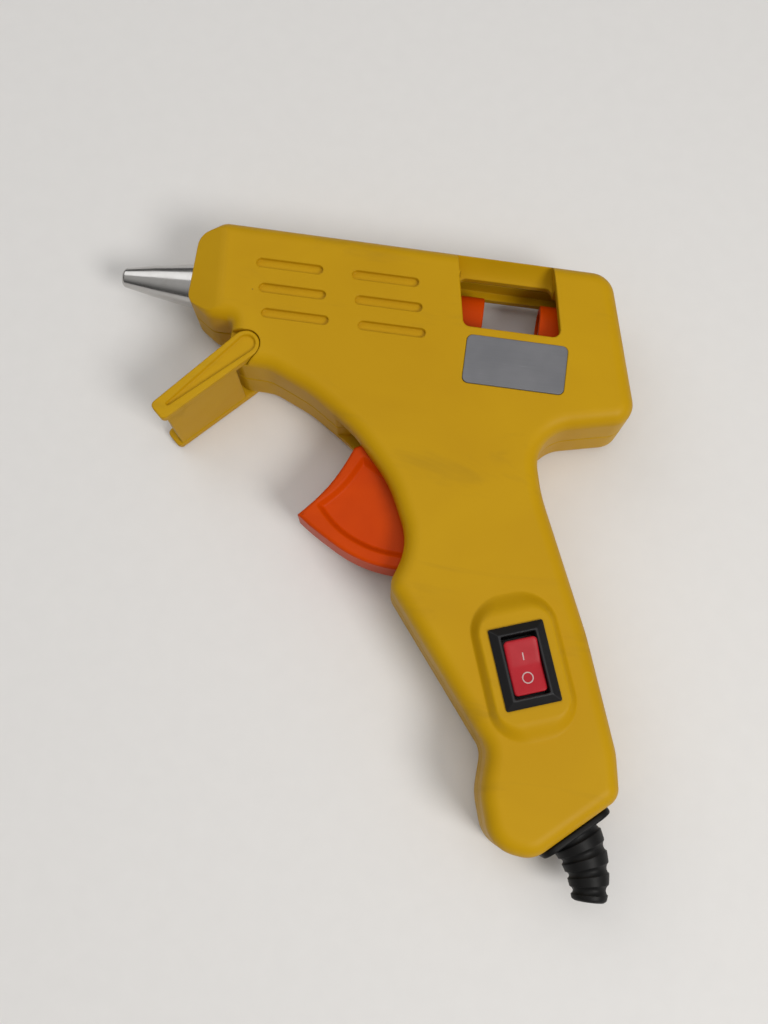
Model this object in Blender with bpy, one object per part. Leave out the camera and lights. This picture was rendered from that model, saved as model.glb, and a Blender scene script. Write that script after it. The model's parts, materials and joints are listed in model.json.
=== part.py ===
"""Small trigger-fed hot glue applicator, lying on its right side.

Worked out in a gun frame: X runs from the nozzle's tip to the rear, Y is up from the barrel's axis, and Z runs
from the plane where the two housing shells meet towards the left side, which carries the switch. All lengths
are in metres. The last step stands the whole part on Z = 0 with its box centred on the origin.
"""
import math

import bmesh
import bpy
from mathutils import Matrix, Vector

# Clearances shared by all pieces
GAP = 0.0003
RUNNING_GAP = 0.0005
OVERRUN = 0.0010

# Housing
HOUSING_THICKNESS = 0.0200
WALL = 0.0020
EDGE_ROUND = 0.0032
NOZZLE_REACH = 0.0158
HOUSING_LENGTH = 0.0946
BARREL_HEIGHT = 0.0207
AXIS_DROP = 0.0009
BODY_DROP = 0.0146
GRIP_HEIGHT = 0.0793
SNOUT_TAPER_LENGTH = 0.0066
SNOUT_TAPER_DEPTH = 0.0032
NOZZLE_HOLE_RADIUS = 0.0051
INLET_RADIUS = 0.0042
RIB_THICKNESS = 0.0015

# Feed window and scoop above it
WINDOW_LENGTH = 0.0193
WINDOW_HEIGHT = 0.0123
WINDOW_LEAN = 0.0024
WINDOW_ROUND = 0.0015
SCOOP_DEPTH = 0.0052
SCOOP_WALL = 0.0012
SCOOP_STEPS = 4
SCOOP_CURVE = 1.6

# Blind grooves on the barrel's sides
GROOVE_LENGTH = 0.0134
GROOVE_WIDTH = 0.0019
GROOVE_DEPTH = 0.0006
GROOVE_PITCH_ALONG = 0.0193
GROOVE_PITCH_DOWN = 0.00525
GROOVE_LEAN = 0.00135
GROOVE_COLUMNS = 2
GROOVE_ROWS = 3

# Plain side plate
LABEL_LENGTH = 0.0198
LABEL_HEIGHT = 0.0100
LABEL_THICKNESS = 0.0004
LABEL_ROUND = 0.0012
LABEL_RECESS = 0.0005

# Housing screws
SCREW_BOSS_RADIUS = 0.0025
SCREW_SHANK_RADIUS = 0.0010
SCREW_HEAD_RADIUS = 0.0022
SCREW_HEAD_HEIGHT = 0.0014
SCREW_LENGTH = 0.0085
SCREW_SINK = 0.0030
SCREW_SEAT_WALL = 0.0009
SCREW_HEAD_DOME_SHARE = 0.6
SCREW_SLOT_WIDTH = 0.0006
SCREW_SLOT_DEPTH = 0.0006

# Heating: nozzle, melt barrel, heater, inlet sleeve
NOZZLE_TIP_RADIUS = 0.0020
NOZZLE_MID_RADIUS = 0.0032
NOZZLE_BASE_RADIUS = 0.0046
NOZZLE_SHANK_RADIUS = 0.0025
NOZZLE_SHANK_LENGTH = 0.0070
NOZZLE_BORE_RADIUS = 0.0008
NOZZLE_FLANGE_LENGTH = 0.0016
NOZZLE_MID_SHARE = 0.42
BARREL_RADIUS = 0.0060
BARREL_BORE_RADIUS = 0.0038
BARREL_LENGTH = 0.0255
BARREL_FACE_LENGTH = 0.0075
BARREL_THROAT_LENGTH = 0.0030
SPIGOT_RADIUS = 0.0047
SPIGOT_LENGTH = 0.0060
SLEEVE_WALL = 0.0012
SLEEVE_LENGTH = 0.0145
SLEEVE_CLIP_WIRE = 0.0004
HEATER_LENGTH = 0.0116
HEATER_HEIGHT = 0.0024
HEATER_WIDTH = 0.0082
HEATER_POCKET_WALL = 0.0010
HEATER_FOIL = 0.0004
INSULATOR_WIDTH = 0.0008
INSULATOR_LENGTH = 0.0014

# Glue stick feed: carriage, gripper, trigger
CARRIAGE_PLATE_FRONT = 0.0052
CARRIAGE_PLATE_REAR = 0.0044
CARRIAGE_PLATE_SPACING = 0.0114
CARRIAGE_PLATE_WIDTH = 0.0104
CARRIAGE_BASE_WIDTH = 0.0144
CARRIAGE_BASE_HEIGHT = 0.0022
CARRIAGE_BASE_DROP = 0.0106
STICK_CLEAR_RADIUS = 0.0039
TRIGGER_ARM_LENGTH = 0.0131
TRIGGER_TIP_RADIUS = 0.0019
TRIGGER_NECK_RADIUS = 0.0010
TRIGGER_TRAVEL_DEG = 25.0
TRIGGER_HUB_RADIUS = 0.0042
TRIGGER_PAD_RADIUS = 0.0262
TRIGGER_WIDTH = 0.0090
TRIGGER_ARM_WIDTH = 0.0070
TRIGGER_PIN_RADIUS = 0.0015
TRIGGER_RIM = 0.0022
TRIGGER_POCKET_DEPTH = 0.0014
FORK_WALL = 0.0018
FORK_WIDTH = 0.0080
FORK_DROP = 0.0047
GRIPPER_WIDTH = 0.0044
GRIPPER_HUB_RADIUS = 0.0016
GRIPPER_PIN_RADIUS = 0.0006
GRIPPER_REACH = 0.0047
GRIPPER_EAR = 0.0014
PIVOT_BOSS_RADIUS = 0.0033
SPRING_COIL_RADIUS = 0.0015
SPRING_WIRE_RADIUS = 0.00025
SPRING_COIL_LENGTH = 0.0085
SPRING_TURNS = 9
SPRING_POST_RADIUS = 0.0012
SPRING_SPAN = 0.0165
SPRING_DROP_FROM_ARM = 0.0075
SPRING_LEVEL = 0.0059

# Folding stand
STAND_LENGTH = 0.0220
STAND_PIVOT_RADIUS = 0.0028
STAND_TAIL_RADIUS = 0.0021
STAND_ARM_THICKNESS = 0.0020
STAND_WEB_THICKNESS = 0.0017
STAND_WEB_START = 0.0046
STAND_ANGLE_DEG = 228.0
STAND_POCKET_DEPTH = 0.0007
STAND_LUG_RADIUS = 0.0036
LUG_BACKING = 0.0008
STAND_PIN_RADIUS = 0.0010
STAND_FACE_DROP = 0.0002

# Rocker switch
SWITCH_LENGTH = 0.0150
SWITCH_WIDTH = 0.0103
SWITCH_LEAN_DEG = 20.0
SWITCH_FRAME_HEIGHT = 0.0014
SWITCH_FRAME_WALL = 0.0018
SWITCH_BODY_DEPTH = 0.0095
SWITCH_BODY_INSET = 0.0009
SWITCH_PAD_HEIGHT = 0.0019
SWITCH_PAD_LENGTH = 0.0192
SWITCH_PAD_WIDTH = 0.0142
SWITCH_PAD_BASE_LENGTH = 0.0265
SWITCH_PAD_BASE_WIDTH = 0.0170
ROCKER_LENGTH = 0.0100
ROCKER_WIDTH = 0.0062
ROCKER_CREST = 0.0028
ROCKER_DIP = 0.0009
ROCKER_TILT_DEG = 8.0
ROCKER_SINK = 0.0006
TERMINAL_WIDTH = 0.0028
TERMINAL_THICKNESS = 0.0006
TERMINAL_LENGTH = 0.0042
TERMINAL_SPACING = 0.0062

# Cord entry
BOOT_ROOT_RADIUS = 0.0052
BOOT_END_RADIUS = 0.0032
BOOT_BORE_RADIUS = 0.0017
BOOT_LENGTH = 0.0130
BOOT_BEND_DEG = 40.0
BOOT_RIBS = 4
BOOT_GROOVE_DEPTH = 0.0008
BOOT_FLANGE_LENGTH = 0.0150
BOOT_FLANGE_WIDTH = 0.0110
BOOT_FLANGE_THICKNESS = 0.0013
BOOT_NECK_RADIUS = 0.0040
BOOT_INNER_FLANGE_RADIUS = 0.0052
BOOT_INNER_FLANGE = 0.0014
CLAMP_LENGTH = 0.0112
CLAMP_WIDTH = 0.0042
CLAMP_THICKNESS = 0.0016
CLAMP_SCREW_SPACING = 0.0076
CLAMP_SCREW_RADIUS = 0.0008
CLAMP_SETBACK = 0.0076
CLAMP_LEVEL = 0.0026

# Wiring
LEAD_RADIUS = 0.00065
CRIMP_RADIUS = 0.0015
CRIMP_LENGTH = 0.0060
LEAD_LOWER_LEVEL = 0.0066
LEAD_UPPER_LEVEL = 0.0048

# Facets of round forms
ARC_STEP_DEG = 22.0
STRAIGHT_SHARE = 0.999
SIDES_FINE = 32
SIDES_MEDIUM = 20
SIDES_SMALL = 12

HALF_THICKNESS = HOUSING_THICKNESS / 2
BARREL_TOP = AXIS_DROP + BARREL_HEIGHT / 2
BARREL_LOW = AXIS_DROP - BARREL_HEIGHT / 2
PARTING = GAP / 2

# Corners of the housing's outline: share along the housing, share down its own band, corner radius as a share
# of the barrel's height.
BARREL_TOP_SHARES = (
    (0.000, 0.333, 0.164),
    (0.053, 0.500, 0.174),
    (0.886, 0.473, 0.242),
)
BODY_REAR_SHARES = (
    (0.968, 0.702, 0.217),
    (0.758, 1.030, 0.362),
)
GRIP_SHARES = (
    (0.790, 0.158, 1.450),
    (0.908, 0.481, 1.930),
    (0.986, 0.740, 0.680),
    (1.000, 0.839, 0.174),
    (0.849, 1.000, 0.261),
    (0.766, 0.988, 0.328),
    (0.735, 0.871, 0.580),
    (0.739, 0.772, 0.242),
    (0.508, 0.428, 0.174),
    (0.538, 0.322, 0.580),
    (0.481, 0.177, 1.200),
    (0.393, 0.061, 1.200),
)
BODY_FRONT_SHARES = (
    (0.288, 0.880, 1.200),
    (0.198, 0.627, 0.386),
)
SNOUT_SHARES = (
    (0.053, -0.500, 0.174),
    (0.000, -0.333, 0.164),
)
LUG_CORNER_SHARE = 0.072

# Places on the housing, as shares of the same bands
STAND_PIVOT_SHARE = (0.145, 0.366)
TRIGGER_PIVOT_SHARE = (0.520, 0.051)
SWITCH_SHARE = (0.788, 0.577)
WINDOW_CENTRE_SHARE = (0.6775, 0.007)
LABEL_CENTRE_SHARE = (0.704, -0.618)
GROOVE_CENTRE_SHARE = (0.325, -0.169)
SCREW_SHARES = {
    "front": (0.235, 0.387),
    "heel": (0.873, 0.343),
}
GRIP_SCREW_SHARES = {
    "waist": (0.686, 0.142),
    "palm": (0.613, 0.442),
    "butt": (0.785, 0.920),
}
INSULATOR_SHARE = 0.075
REAR_RIB_SHARE = 0.845


def barrel_point(along_share, up_share):
    """A place beside the barrel, measured up from the middle of its height."""
    return Vector((NOZZLE_REACH + along_share * HOUSING_LENGTH, AXIS_DROP + up_share * BARREL_HEIGHT))


def body_point(along_share, down_share):
    """A place below the barrel, in the band down to the heel."""
    return Vector((NOZZLE_REACH + along_share * HOUSING_LENGTH, BARREL_LOW - down_share * BODY_DROP))


def grip_point(along_share, down_share):
    """A place in the grip, from the heel down to the butt."""
    top = BARREL_LOW - BODY_DROP
    return Vector((NOZZLE_REACH + along_share * HOUSING_LENGTH, top - down_share * GRIP_HEIGHT))


STAND_PIVOT = body_point(*STAND_PIVOT_SHARE)
TRIGGER_PIVOT = grip_point(*TRIGGER_PIVOT_SHARE)
SWITCH_CENTRE = grip_point(*SWITCH_SHARE)
HALF_TRAVEL = math.radians(TRIGGER_TRAVEL_DEG) / 2


def turned_by(vector, angle):
    """A flat vector turned anticlockwise by an angle in radians."""
    return Vector((
        vector.x * math.cos(angle) - vector.y * math.sin(angle),
        vector.x * math.sin(angle) + vector.y * math.cos(angle),
    ))


def polar(radius, angle_deg):
    """A flat vector from its length and its angle in degrees."""
    return turned_by(Vector((radius, 0)), math.radians(angle_deg))


def fitting_radii(corners):
    """The corners' radii, less where two arcs would meet on the straight between them."""
    reaches = []
    for index, (corner, radius) in enumerate(corners):
        before = corners[index - 1][0] - corner
        after = corners[(index + 1) % len(corners)][0] - corner
        reaches.append(radius / math.tan(before.angle(after) / 2))
    radii = []
    for index, (corner, radius) in enumerate(corners):
        share = 1.0
        for other in (index - 1, (index + 1) % len(corners)):
            straight = (corners[other][0] - corner).length
            taken = reaches[index] + reaches[other]
            if taken > straight * STRAIGHT_SHARE:
                share = min(share, straight * STRAIGHT_SHARE / taken)
        radii.append(radius * share)
    return radii


def rounded(corners):
    """Points of a closed outline whose corners, given as (point, radius), are rounded by arcs."""
    points = []
    for index, (corner, radius) in enumerate(zip([place for place, _ in corners], fitting_radii(corners))):
        before = (corners[index - 1][0] - corner).normalized()
        after = (corners[(index + 1) % len(corners)][0] - corner).normalized()
        inside = before.angle(after)
        turn = math.pi - inside
        if radius <= 0 or turn < math.radians(1):
            points.append(corner.copy())
            continue
        centre = corner + (before + after).normalized() * radius / math.sin(inside / 2)
        first = corner + before * radius / math.tan(inside / 2)
        side = 1 if before.x * after.y - before.y * after.x < 0 else -1
        steps = max(2, math.ceil(math.degrees(turn) / ARC_STEP_DEG))
        for step in range(steps + 1):
            points.append(centre + turned_by(first - centre, side * turn * step / steps))
    return points


def rectangle(length, width, radius=0.0, centre=Vector((0, 0)), lean_deg=0.0):
    """A rounded rectangle, anticlockwise, its length along X before it is turned."""
    corners = []
    for x, y in ((1, 1), (-1, 1), (-1, -1), (1, -1)):
        corners.append((Vector((x * length / 2, y * width / 2)), radius))
    turn = math.radians(lean_deg)
    return [centre + turned_by(point, turn) for point in rounded(corners)]


def circle(radius, sides, centre=Vector((0, 0))):
    """A closed outline of a circle, anticlockwise."""
    return [centre + polar(radius, 360 * step / sides) for step in range(sides)]


def teardrop(start, start_radius, end, end_radius, sides=SIDES_SMALL):
    """The outline round two circles, anticlockwise."""
    along = end - start
    heading = math.degrees(math.atan2(along.y, along.x))
    swing = math.degrees(math.acos((start_radius - end_radius) / along.length))
    points = []
    for step in range(sides + 1):
        points.append(start + polar(start_radius, heading + swing + (360 - 2 * swing) * step / sides))
    for step in range(sides + 1):
        points.append(end + polar(end_radius, heading - swing + 2 * swing * step / sides))
    return points


def prism(points, low, high):
    """A flat outline drawn from one height to another."""
    shape = bmesh.new()
    base = shape.faces.new([shape.verts.new((p.x, p.y, low)) for p in points])
    raised = bmesh.ops.extrude_face_region(shape, geom=[base])
    top = [item for item in raised["geom"] if isinstance(item, bmesh.types.BMVert)]
    bmesh.ops.translate(shape, verts=top, vec=(0, 0, high - low))
    bmesh.ops.recalc_face_normals(shape, faces=shape.faces[:])
    return shape


def layered(rings):
    """A closed solid through stacked rings of equal counts of 3-D points."""
    shape = bmesh.new()
    loops = [[shape.verts.new(point) for point in ring] for ring in rings]
    for lower, upper in zip(loops, loops[1:]):
        for index in range(len(lower)):
            following = (index + 1) % len(lower)
            shape.faces.new((lower[index], lower[following], upper[following], upper[index]))
    shape.faces.new(loops[0][::-1])
    shape.faces.new(loops[-1])
    bmesh.ops.recalc_face_normals(shape, faces=shape.faces[:])
    return shape


def turned(profile, sides):
    """A solid turned about the X axis from a closed profile of (along, radius) points."""
    shape = bmesh.new()
    verts = [shape.verts.new((along, radius, 0)) for along, radius in profile]
    edges = []
    for index, vert in enumerate(verts):
        edges.append(shape.edges.new((verts[index - 1], vert)))
    bmesh.ops.spin(
        shape, geom=verts + edges, cent=(0, 0, 0), axis=(1, 0, 0), angle=math.tau, steps=sides,
        use_merge=True, use_duplicate=False,
    )
    bmesh.ops.remove_doubles(shape, verts=shape.verts[:], dist=GAP / SIDES_FINE)
    loose = [edge for edge in shape.edges if not edge.link_faces]
    bmesh.ops.delete(shape, geom=loose, context="EDGES")
    bmesh.ops.recalc_face_normals(shape, faces=shape.faces[:])
    return shape


def moved(shape, offset, turn=None):
    """The same shape, turned by a matrix and then moved."""
    if turn is not None:
        bmesh.ops.transform(shape, matrix=turn, verts=shape.verts[:])
    bmesh.ops.translate(shape, verts=shape.verts[:], vec=offset)
    return shape


def merged(shapes):
    """Several separate shapes as one mesh."""
    whole = bmesh.new()
    for shape in shapes:
        part = bpy.data.meshes.new("part")
        shape.to_mesh(part)
        shape.free()
        whole.from_mesh(part)
        bpy.data.meshes.remove(part)
    return whole


def mirrored(shape, side):
    """The shape on the left side, or its mirror image on the right side."""
    if side < 0:
        bmesh.ops.scale(shape, vec=(1, 1, -1), verts=shape.verts[:])
        bmesh.ops.reverse_faces(shape, faces=shape.faces[:])
    return shape


def spanning(low, high, side):
    """Two heights measured outwards from the parting plane, in rising order."""
    return (low, high) if side > 0 else (-high, -low)


FRAME = None


def clear_scene():
    for item in list(bpy.data.objects):
        bpy.data.objects.remove(item, do_unlink=True)


def material(name, colour, roughness, metallic=0.0):
    found = bpy.data.materials.get(name)
    if found:
        return found
    made = bpy.data.materials.new(name)
    made.use_nodes = True
    shader = made.node_tree.nodes["Principled BSDF"]
    shader.inputs["Base Color"].default_value = (*colour, 1.0)
    shader.inputs["Roughness"].default_value = roughness
    shader.inputs["Metallic"].default_value = metallic
    made.diffuse_color = (*colour, 1.0)
    return made


def piece(name, shape, finish, origin=Vector((0, 0, 0))):
    """A named part of the gun, its own origin at the given place in the gun frame."""
    mesh = bpy.data.meshes.new(name)
    bmesh.ops.translate(shape, verts=shape.verts[:], vec=-origin)
    shape.to_mesh(mesh)
    shape.free()
    mesh.shade_smooth()
    mesh.set_sharp_from_angle(angle=math.radians(30))
    mesh.materials.append(finish)
    made = bpy.data.objects.new(name, mesh)
    made.parent = FRAME
    made.location = origin
    bpy.context.scene.collection.objects.link(made)
    return made


def helper(name, shape):
    """A shape that only cuts or joins, and isn't a part."""
    mesh = bpy.data.meshes.new(name)
    shape.to_mesh(mesh)
    shape.free()
    made = bpy.data.objects.new(name, mesh)
    made.parent = FRAME
    made.hide_render = True
    made.display_type = "WIRE"
    bpy.context.scene.collection.objects.link(made)
    return made


def combine(target, shape, operation):
    """Cuts a shape from a part, or joins it on, with a Boolean modifier."""
    label = f"{target.name}_{operation.lower()}_{len(target.modifiers)}"
    modifier = target.modifiers.new(label, "BOOLEAN")
    modifier.operation = operation
    modifier.solver = "EXACT"
    modifier.object = helper(label, shape)


def cut(target, *shapes):
    for shape in shapes:
        combine(target, shape, "DIFFERENCE")


def join(target, *shapes):
    for shape in shapes:
        combine(target, shape, "UNION")


def finishes():
    return {
        "housing": material("satin_yellow_plastic", (0.74, 0.47, 0.045), 0.38),
        "trigger": material("orange_plastic", (0.80, 0.12, 0.01), 0.35),
        "metal": material("bright_metal", (0.72, 0.72, 0.74), 0.16, 1.0),
        "aluminium": material("cast_aluminium", (0.60, 0.60, 0.62), 0.40, 1.0),
        "steel": material("zinc_steel", (0.55, 0.55, 0.57), 0.32, 1.0),
        "brass": material("brass", (0.72, 0.52, 0.22), 0.35, 1.0),
        "silicone": material("red_silicone", (0.48, 0.07, 0.05), 0.60),
        "ceramic": material("brown_heater_film", (0.36, 0.16, 0.05), 0.45),
        "insulator": material("pale_insulator", (0.70, 0.66, 0.55), 0.80),
        "black": material("black_plastic", (0.018, 0.018, 0.020), 0.42),
        "rubber": material("black_rubber", (0.015, 0.015, 0.016), 0.62),
        "rocker": material("red_plastic", (0.62, 0.02, 0.03), 0.25),
        "label": material("silver_grey_film", (0.36, 0.37, 0.40), 0.45, 0.2),
        "lead": material("white_wire", (0.75, 0.75, 0.73), 0.50),
        "lead_dark": material("grey_wire", (0.20, 0.20, 0.21), 0.50),
    }


def housing_corners():
    """The corners of the housing seen from the left, anticlockwise, each with the radius that fits there."""
    clockwise = []
    for along, up, bend in BARREL_TOP_SHARES:
        clockwise.append((barrel_point(along, up), bend * BARREL_HEIGHT))
    for along, down, bend in BODY_REAR_SHARES:
        clockwise.append((body_point(along, down), bend * BARREL_HEIGHT))
    for along, down, bend in GRIP_SHARES:
        clockwise.append((grip_point(along, down), bend * BARREL_HEIGHT))
    for along, down, bend in BODY_FRONT_SHARES:
        clockwise.append((body_point(along, down), bend * BARREL_HEIGHT))
    lug_front = STAND_PIVOT.x - STAND_LUG_RADIUS
    clockwise.append((Vector((lug_front, STAND_PIVOT.y - STAND_LUG_RADIUS)), STAND_LUG_RADIUS))
    clockwise.append((Vector((lug_front, BARREL_LOW)), LUG_CORNER_SHARE * BARREL_HEIGHT))
    for along, up, bend in SNOUT_SHARES:
        clockwise.append((barrel_point(along, up), bend * BARREL_HEIGHT))
    corners = clockwise[::-1]
    return list(zip([place for place, _ in corners], fitting_radii(corners)))


def bends(corners):
    """For each corner of an anticlockwise outline, how far its straights shorten for each length of inset."""
    shortened = []
    for index, (corner, _) in enumerate(corners):
        before = corner - corners[index - 1][0]
        after = corners[(index + 1) % len(corners)][0] - corner
        turn = before.angle(after)
        left = before.x * after.y - before.y * after.x > 0
        shortened.append(math.tan(turn / 2) if left else -math.tan(turn / 2))
    return shortened


def outline(inset=0.0):
    """The housing's outline seen from the left, anticlockwise, or the one that lies inside it by an inset."""
    given = housing_corners()
    corners = []
    for index, (bend, (corner, radius)) in enumerate(zip(bends(given), given)):
        along = (corner - given[index - 1][0]).normalized()
        inward = Vector((-along.y, along.x))
        place = corner + inward * inset - along * inset * bend
        bent = radius - inset if bend > 0 else radius + inset
        corners.append((place, max(bent, PARTING)))
    return rounded(corners)


def edge_round():
    """The rounding of the housing's outer edges, less where a straight of the outline would vanish."""
    given = housing_corners()
    shortened = bends(given)
    limit = EDGE_ROUND
    for index, (corner, _) in enumerate(given):
        straight = (corner - given[index - 1][0]).length
        lost = shortened[index] + shortened[index - 1]
        if lost > 0:
            limit = min(limit, straight / lost * STRAIGHT_SHARE)
    return limit


def snout_wedge(sink, side):
    """The slope that narrows the snout towards the nozzle, lowered by a wall for the hollow inside."""
    lean = WINDOW_LEAN
    start = NOZZLE_REACH + SNOUT_TAPER_LENGTH
    front = NOZZLE_REACH - OVERRUN
    depth = SNOUT_TAPER_DEPTH * (start - front) / SNOUT_TAPER_LENGTH
    top = HALF_THICKNESS - sink
    rings = []
    for up, shift in ((BARREL_LOW - STAND_LUG_RADIUS, lean / 2), (BARREL_TOP + OVERRUN, -lean / 2)):
        rings.append([
            Vector((front, up, top - depth)),
            Vector((start + shift, up, top)),
            Vector((start + shift, up, HALF_THICKNESS + OVERRUN)),
            Vector((front, up, HALF_THICKNESS + OVERRUN)),
        ])
    return mirrored(layered(rings), side)


def housing_block(side):
    """Half of the outer form, its outer edge rounded."""
    rings = []
    levels = [(0.0, PARTING)]
    bend = edge_round()
    for angle_deg in (0, 30, 60, 90):
        angle = math.radians(angle_deg)
        levels.append((bend * (1 - math.cos(angle)), HALF_THICKNESS - bend * (1 - math.sin(angle))))
    for inset, height in levels:
        rings.append([Vector((p.x, p.y, height)) for p in outline(inset)])
    return mirrored(layered(rings), side)


def screw_places():
    places = {name: body_point(*share) for name, share in SCREW_SHARES.items()}
    places.update({name: grip_point(*share) for name, share in GRIP_SCREW_SHARES.items()})
    return places


def cord_frame():
    """Where the cord leaves the butt: the middle of its sloping face, the way out, and the way along the face."""
    upper = grip_point(*GRIP_SHARES[3][:2])
    lower = grip_point(*GRIP_SHARES[4][:2])
    along = (lower - upper).normalized()
    return (upper + lower) / 2, Vector((-along.y, along.x)), along


def window_side_x(height, side):
    """X of the feed window's front or rear edge at a height; both edges lean alike."""
    centre = barrel_point(*WINDOW_CENTRE_SHARE)
    return centre.x + side * WINDOW_LENGTH / 2 - (height - centre.y) * WINDOW_LEAN / WINDOW_HEIGHT


def window_outline():
    centre = barrel_point(*WINDOW_CENTRE_SHARE)
    corners = []
    for side, up in ((1, 1), (-1, 1), (-1, -1), (1, -1)):
        height = centre.y + up * WINDOW_HEIGHT / 2
        corners.append((Vector((window_side_x(height, side), height)), WINDOW_ROUND))
    return rounded(corners)


def scoop(side):
    """The hollow cut into the side above the window, down to a thin edge at the window's top."""
    centre = barrel_point(*WINDOW_CENTRE_SHARE)
    low = centre.y + WINDOW_HEIGHT / 2 - WINDOW_ROUND / 2
    high = barrel_point(*BARREL_TOP_SHARES[-1][:2]).y
    floor = HALF_THICKNESS - SCOOP_DEPTH
    rise = SCOOP_DEPTH - EDGE_ROUND / 3
    section = []
    for step in range(SCOOP_STEPS + 1):
        share = step / SCOOP_STEPS
        section.append((low + (high - low) * share, floor + rise * share ** SCOOP_CURVE))
    section += [(high, HALF_THICKNESS + OVERRUN), (low, HALF_THICKNESS + OVERRUN)]
    rings = []
    for end in (-1, 1):
        rings.append([Vector((window_side_x(height, end), height, level)) for height, level in section])
    return mirrored(layered(rings), side)


def scoop_backing(side):
    """Solid behind the scoop, left standing in the hollow."""
    centre = barrel_point(*WINDOW_CENTRE_SHARE)
    low = centre.y + WINDOW_HEIGHT / 2 - WINDOW_ROUND
    block = [
        Vector((window_side_x(low, -1) - WALL, low)),
        Vector((window_side_x(low, 1) + WALL, low)),
        Vector((window_side_x(low, 1) + WALL, BARREL_TOP)),
        Vector((window_side_x(low, -1) - WALL, BARREL_TOP)),
    ]
    return prism(block, *spanning(HALF_THICKNESS - SCOOP_DEPTH - SCOOP_WALL, HALF_THICKNESS, side))


def cylinder_along_x(radius, start, end, sides=SIDES_FINE):
    return turned([(start, 0.0), (end, 0.0), (end, radius), (start, radius)], sides)


def cylinder_up(radius, centre, low, high, sides=SIDES_MEDIUM):
    return prism(circle(radius, sides, centre), low, high)


def rib_at(along, thickness, low, high, side):
    """A wall across the hollow, from one height to another."""
    block = [
        Vector((along, low)), Vector((along + thickness, low)),
        Vector((along + thickness, high)), Vector((along, high)),
    ]
    return prism(block, *spanning(-2 * OVERRUN, HALF_THICKNESS, side))


def carriage_places():
    """X of the front plate's front face, the rear plate's rear face, and the fork's middle."""
    rear_edge = window_side_x(barrel_point(*WINDOW_CENTRE_SHARE).y, 1)
    rear = rear_edge + CARRIAGE_PLATE_REAR / 3
    front = rear - CARRIAGE_PLATE_REAR - CARRIAGE_PLATE_SPACING - CARRIAGE_PLATE_FRONT
    fork = TRIGGER_PIVOT.x + TRIGGER_ARM_LENGTH * math.sin(HALF_TRAVEL)
    return front, rear, fork


def rails(side):
    """Ledges that the carriage's base slides on, open in the middle for the trigger's arm."""
    front, rear, _ = carriage_places()
    travel = 2 * TRIGGER_ARM_LENGTH * math.sin(HALF_TRAVEL)
    top = -CARRIAGE_BASE_DROP - CARRIAGE_BASE_HEIGHT - GAP
    ledge = rectangle(
        rear - front + travel + CARRIAGE_PLATE_REAR, RIB_THICKNESS,
        centre=Vector(((front + rear - travel) / 2, top - RIB_THICKNESS / 2)),
    )
    return prism(ledge, *spanning(FORK_WIDTH / 2 + RUNNING_GAP, HALF_THICKNESS, side))


def trigger_slot():
    """Where the trigger comes out of the body: a sector round its pivot."""
    hub = TRIGGER_HUB_RADIUS + RUNNING_GAP
    reach = TRIGGER_PAD_RADIUS + RUNNING_GAP
    points = [TRIGGER_PIVOT + polar(hub, 100), TRIGGER_PIVOT + polar(hub, 140)]
    for step in range(SIDES_SMALL + 1):
        points.append(TRIGGER_PIVOT + polar(reach, 178 + 112 * step / SIDES_SMALL))
    points.append(TRIGGER_PIVOT + polar(hub, 340))
    half = TRIGGER_WIDTH / 2 + RUNNING_GAP
    return prism(points, -half, half)


def spring_ends():
    """Where the return spring hooks on: the trigger's peg and the housing's post."""
    radius = SPRING_DROP_FROM_ARM
    peg = TRIGGER_PIVOT + turned_by(Vector((0, radius)), -HALF_TRAVEL)
    return peg, peg + Vector((SPRING_SPAN, 0))


def stand_heading():
    return polar(1.0, STAND_ANGLE_DEG)


def arm_recess(side):
    """Room beside the lug for the stand's arm, from where it stands to where it folds forward."""
    reach = STAND_PIVOT_RADIUS + RUNNING_GAP
    low = HALF_THICKNESS - STAND_FACE_DROP - STAND_ARM_THICKNESS - GAP
    far = STAND_PIVOT_RADIUS + STAND_LUG_RADIUS
    behind_deg = STAND_ANGLE_DEG + 90
    points = []
    for step in range(SIDES_SMALL + 1):
        points.append(STAND_PIVOT + polar(reach, behind_deg - 360 + (450 - behind_deg) * step / SIDES_SMALL))
    points.append(STAND_PIVOT + Vector((-far, reach)))
    points.append(STAND_PIVOT + Vector((-far, -far)))
    points.append(STAND_PIVOT + stand_heading() * far + polar(reach, behind_deg))
    return prism(points, *spanning(low, HALF_THICKNESS + OVERRUN, side))


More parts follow.
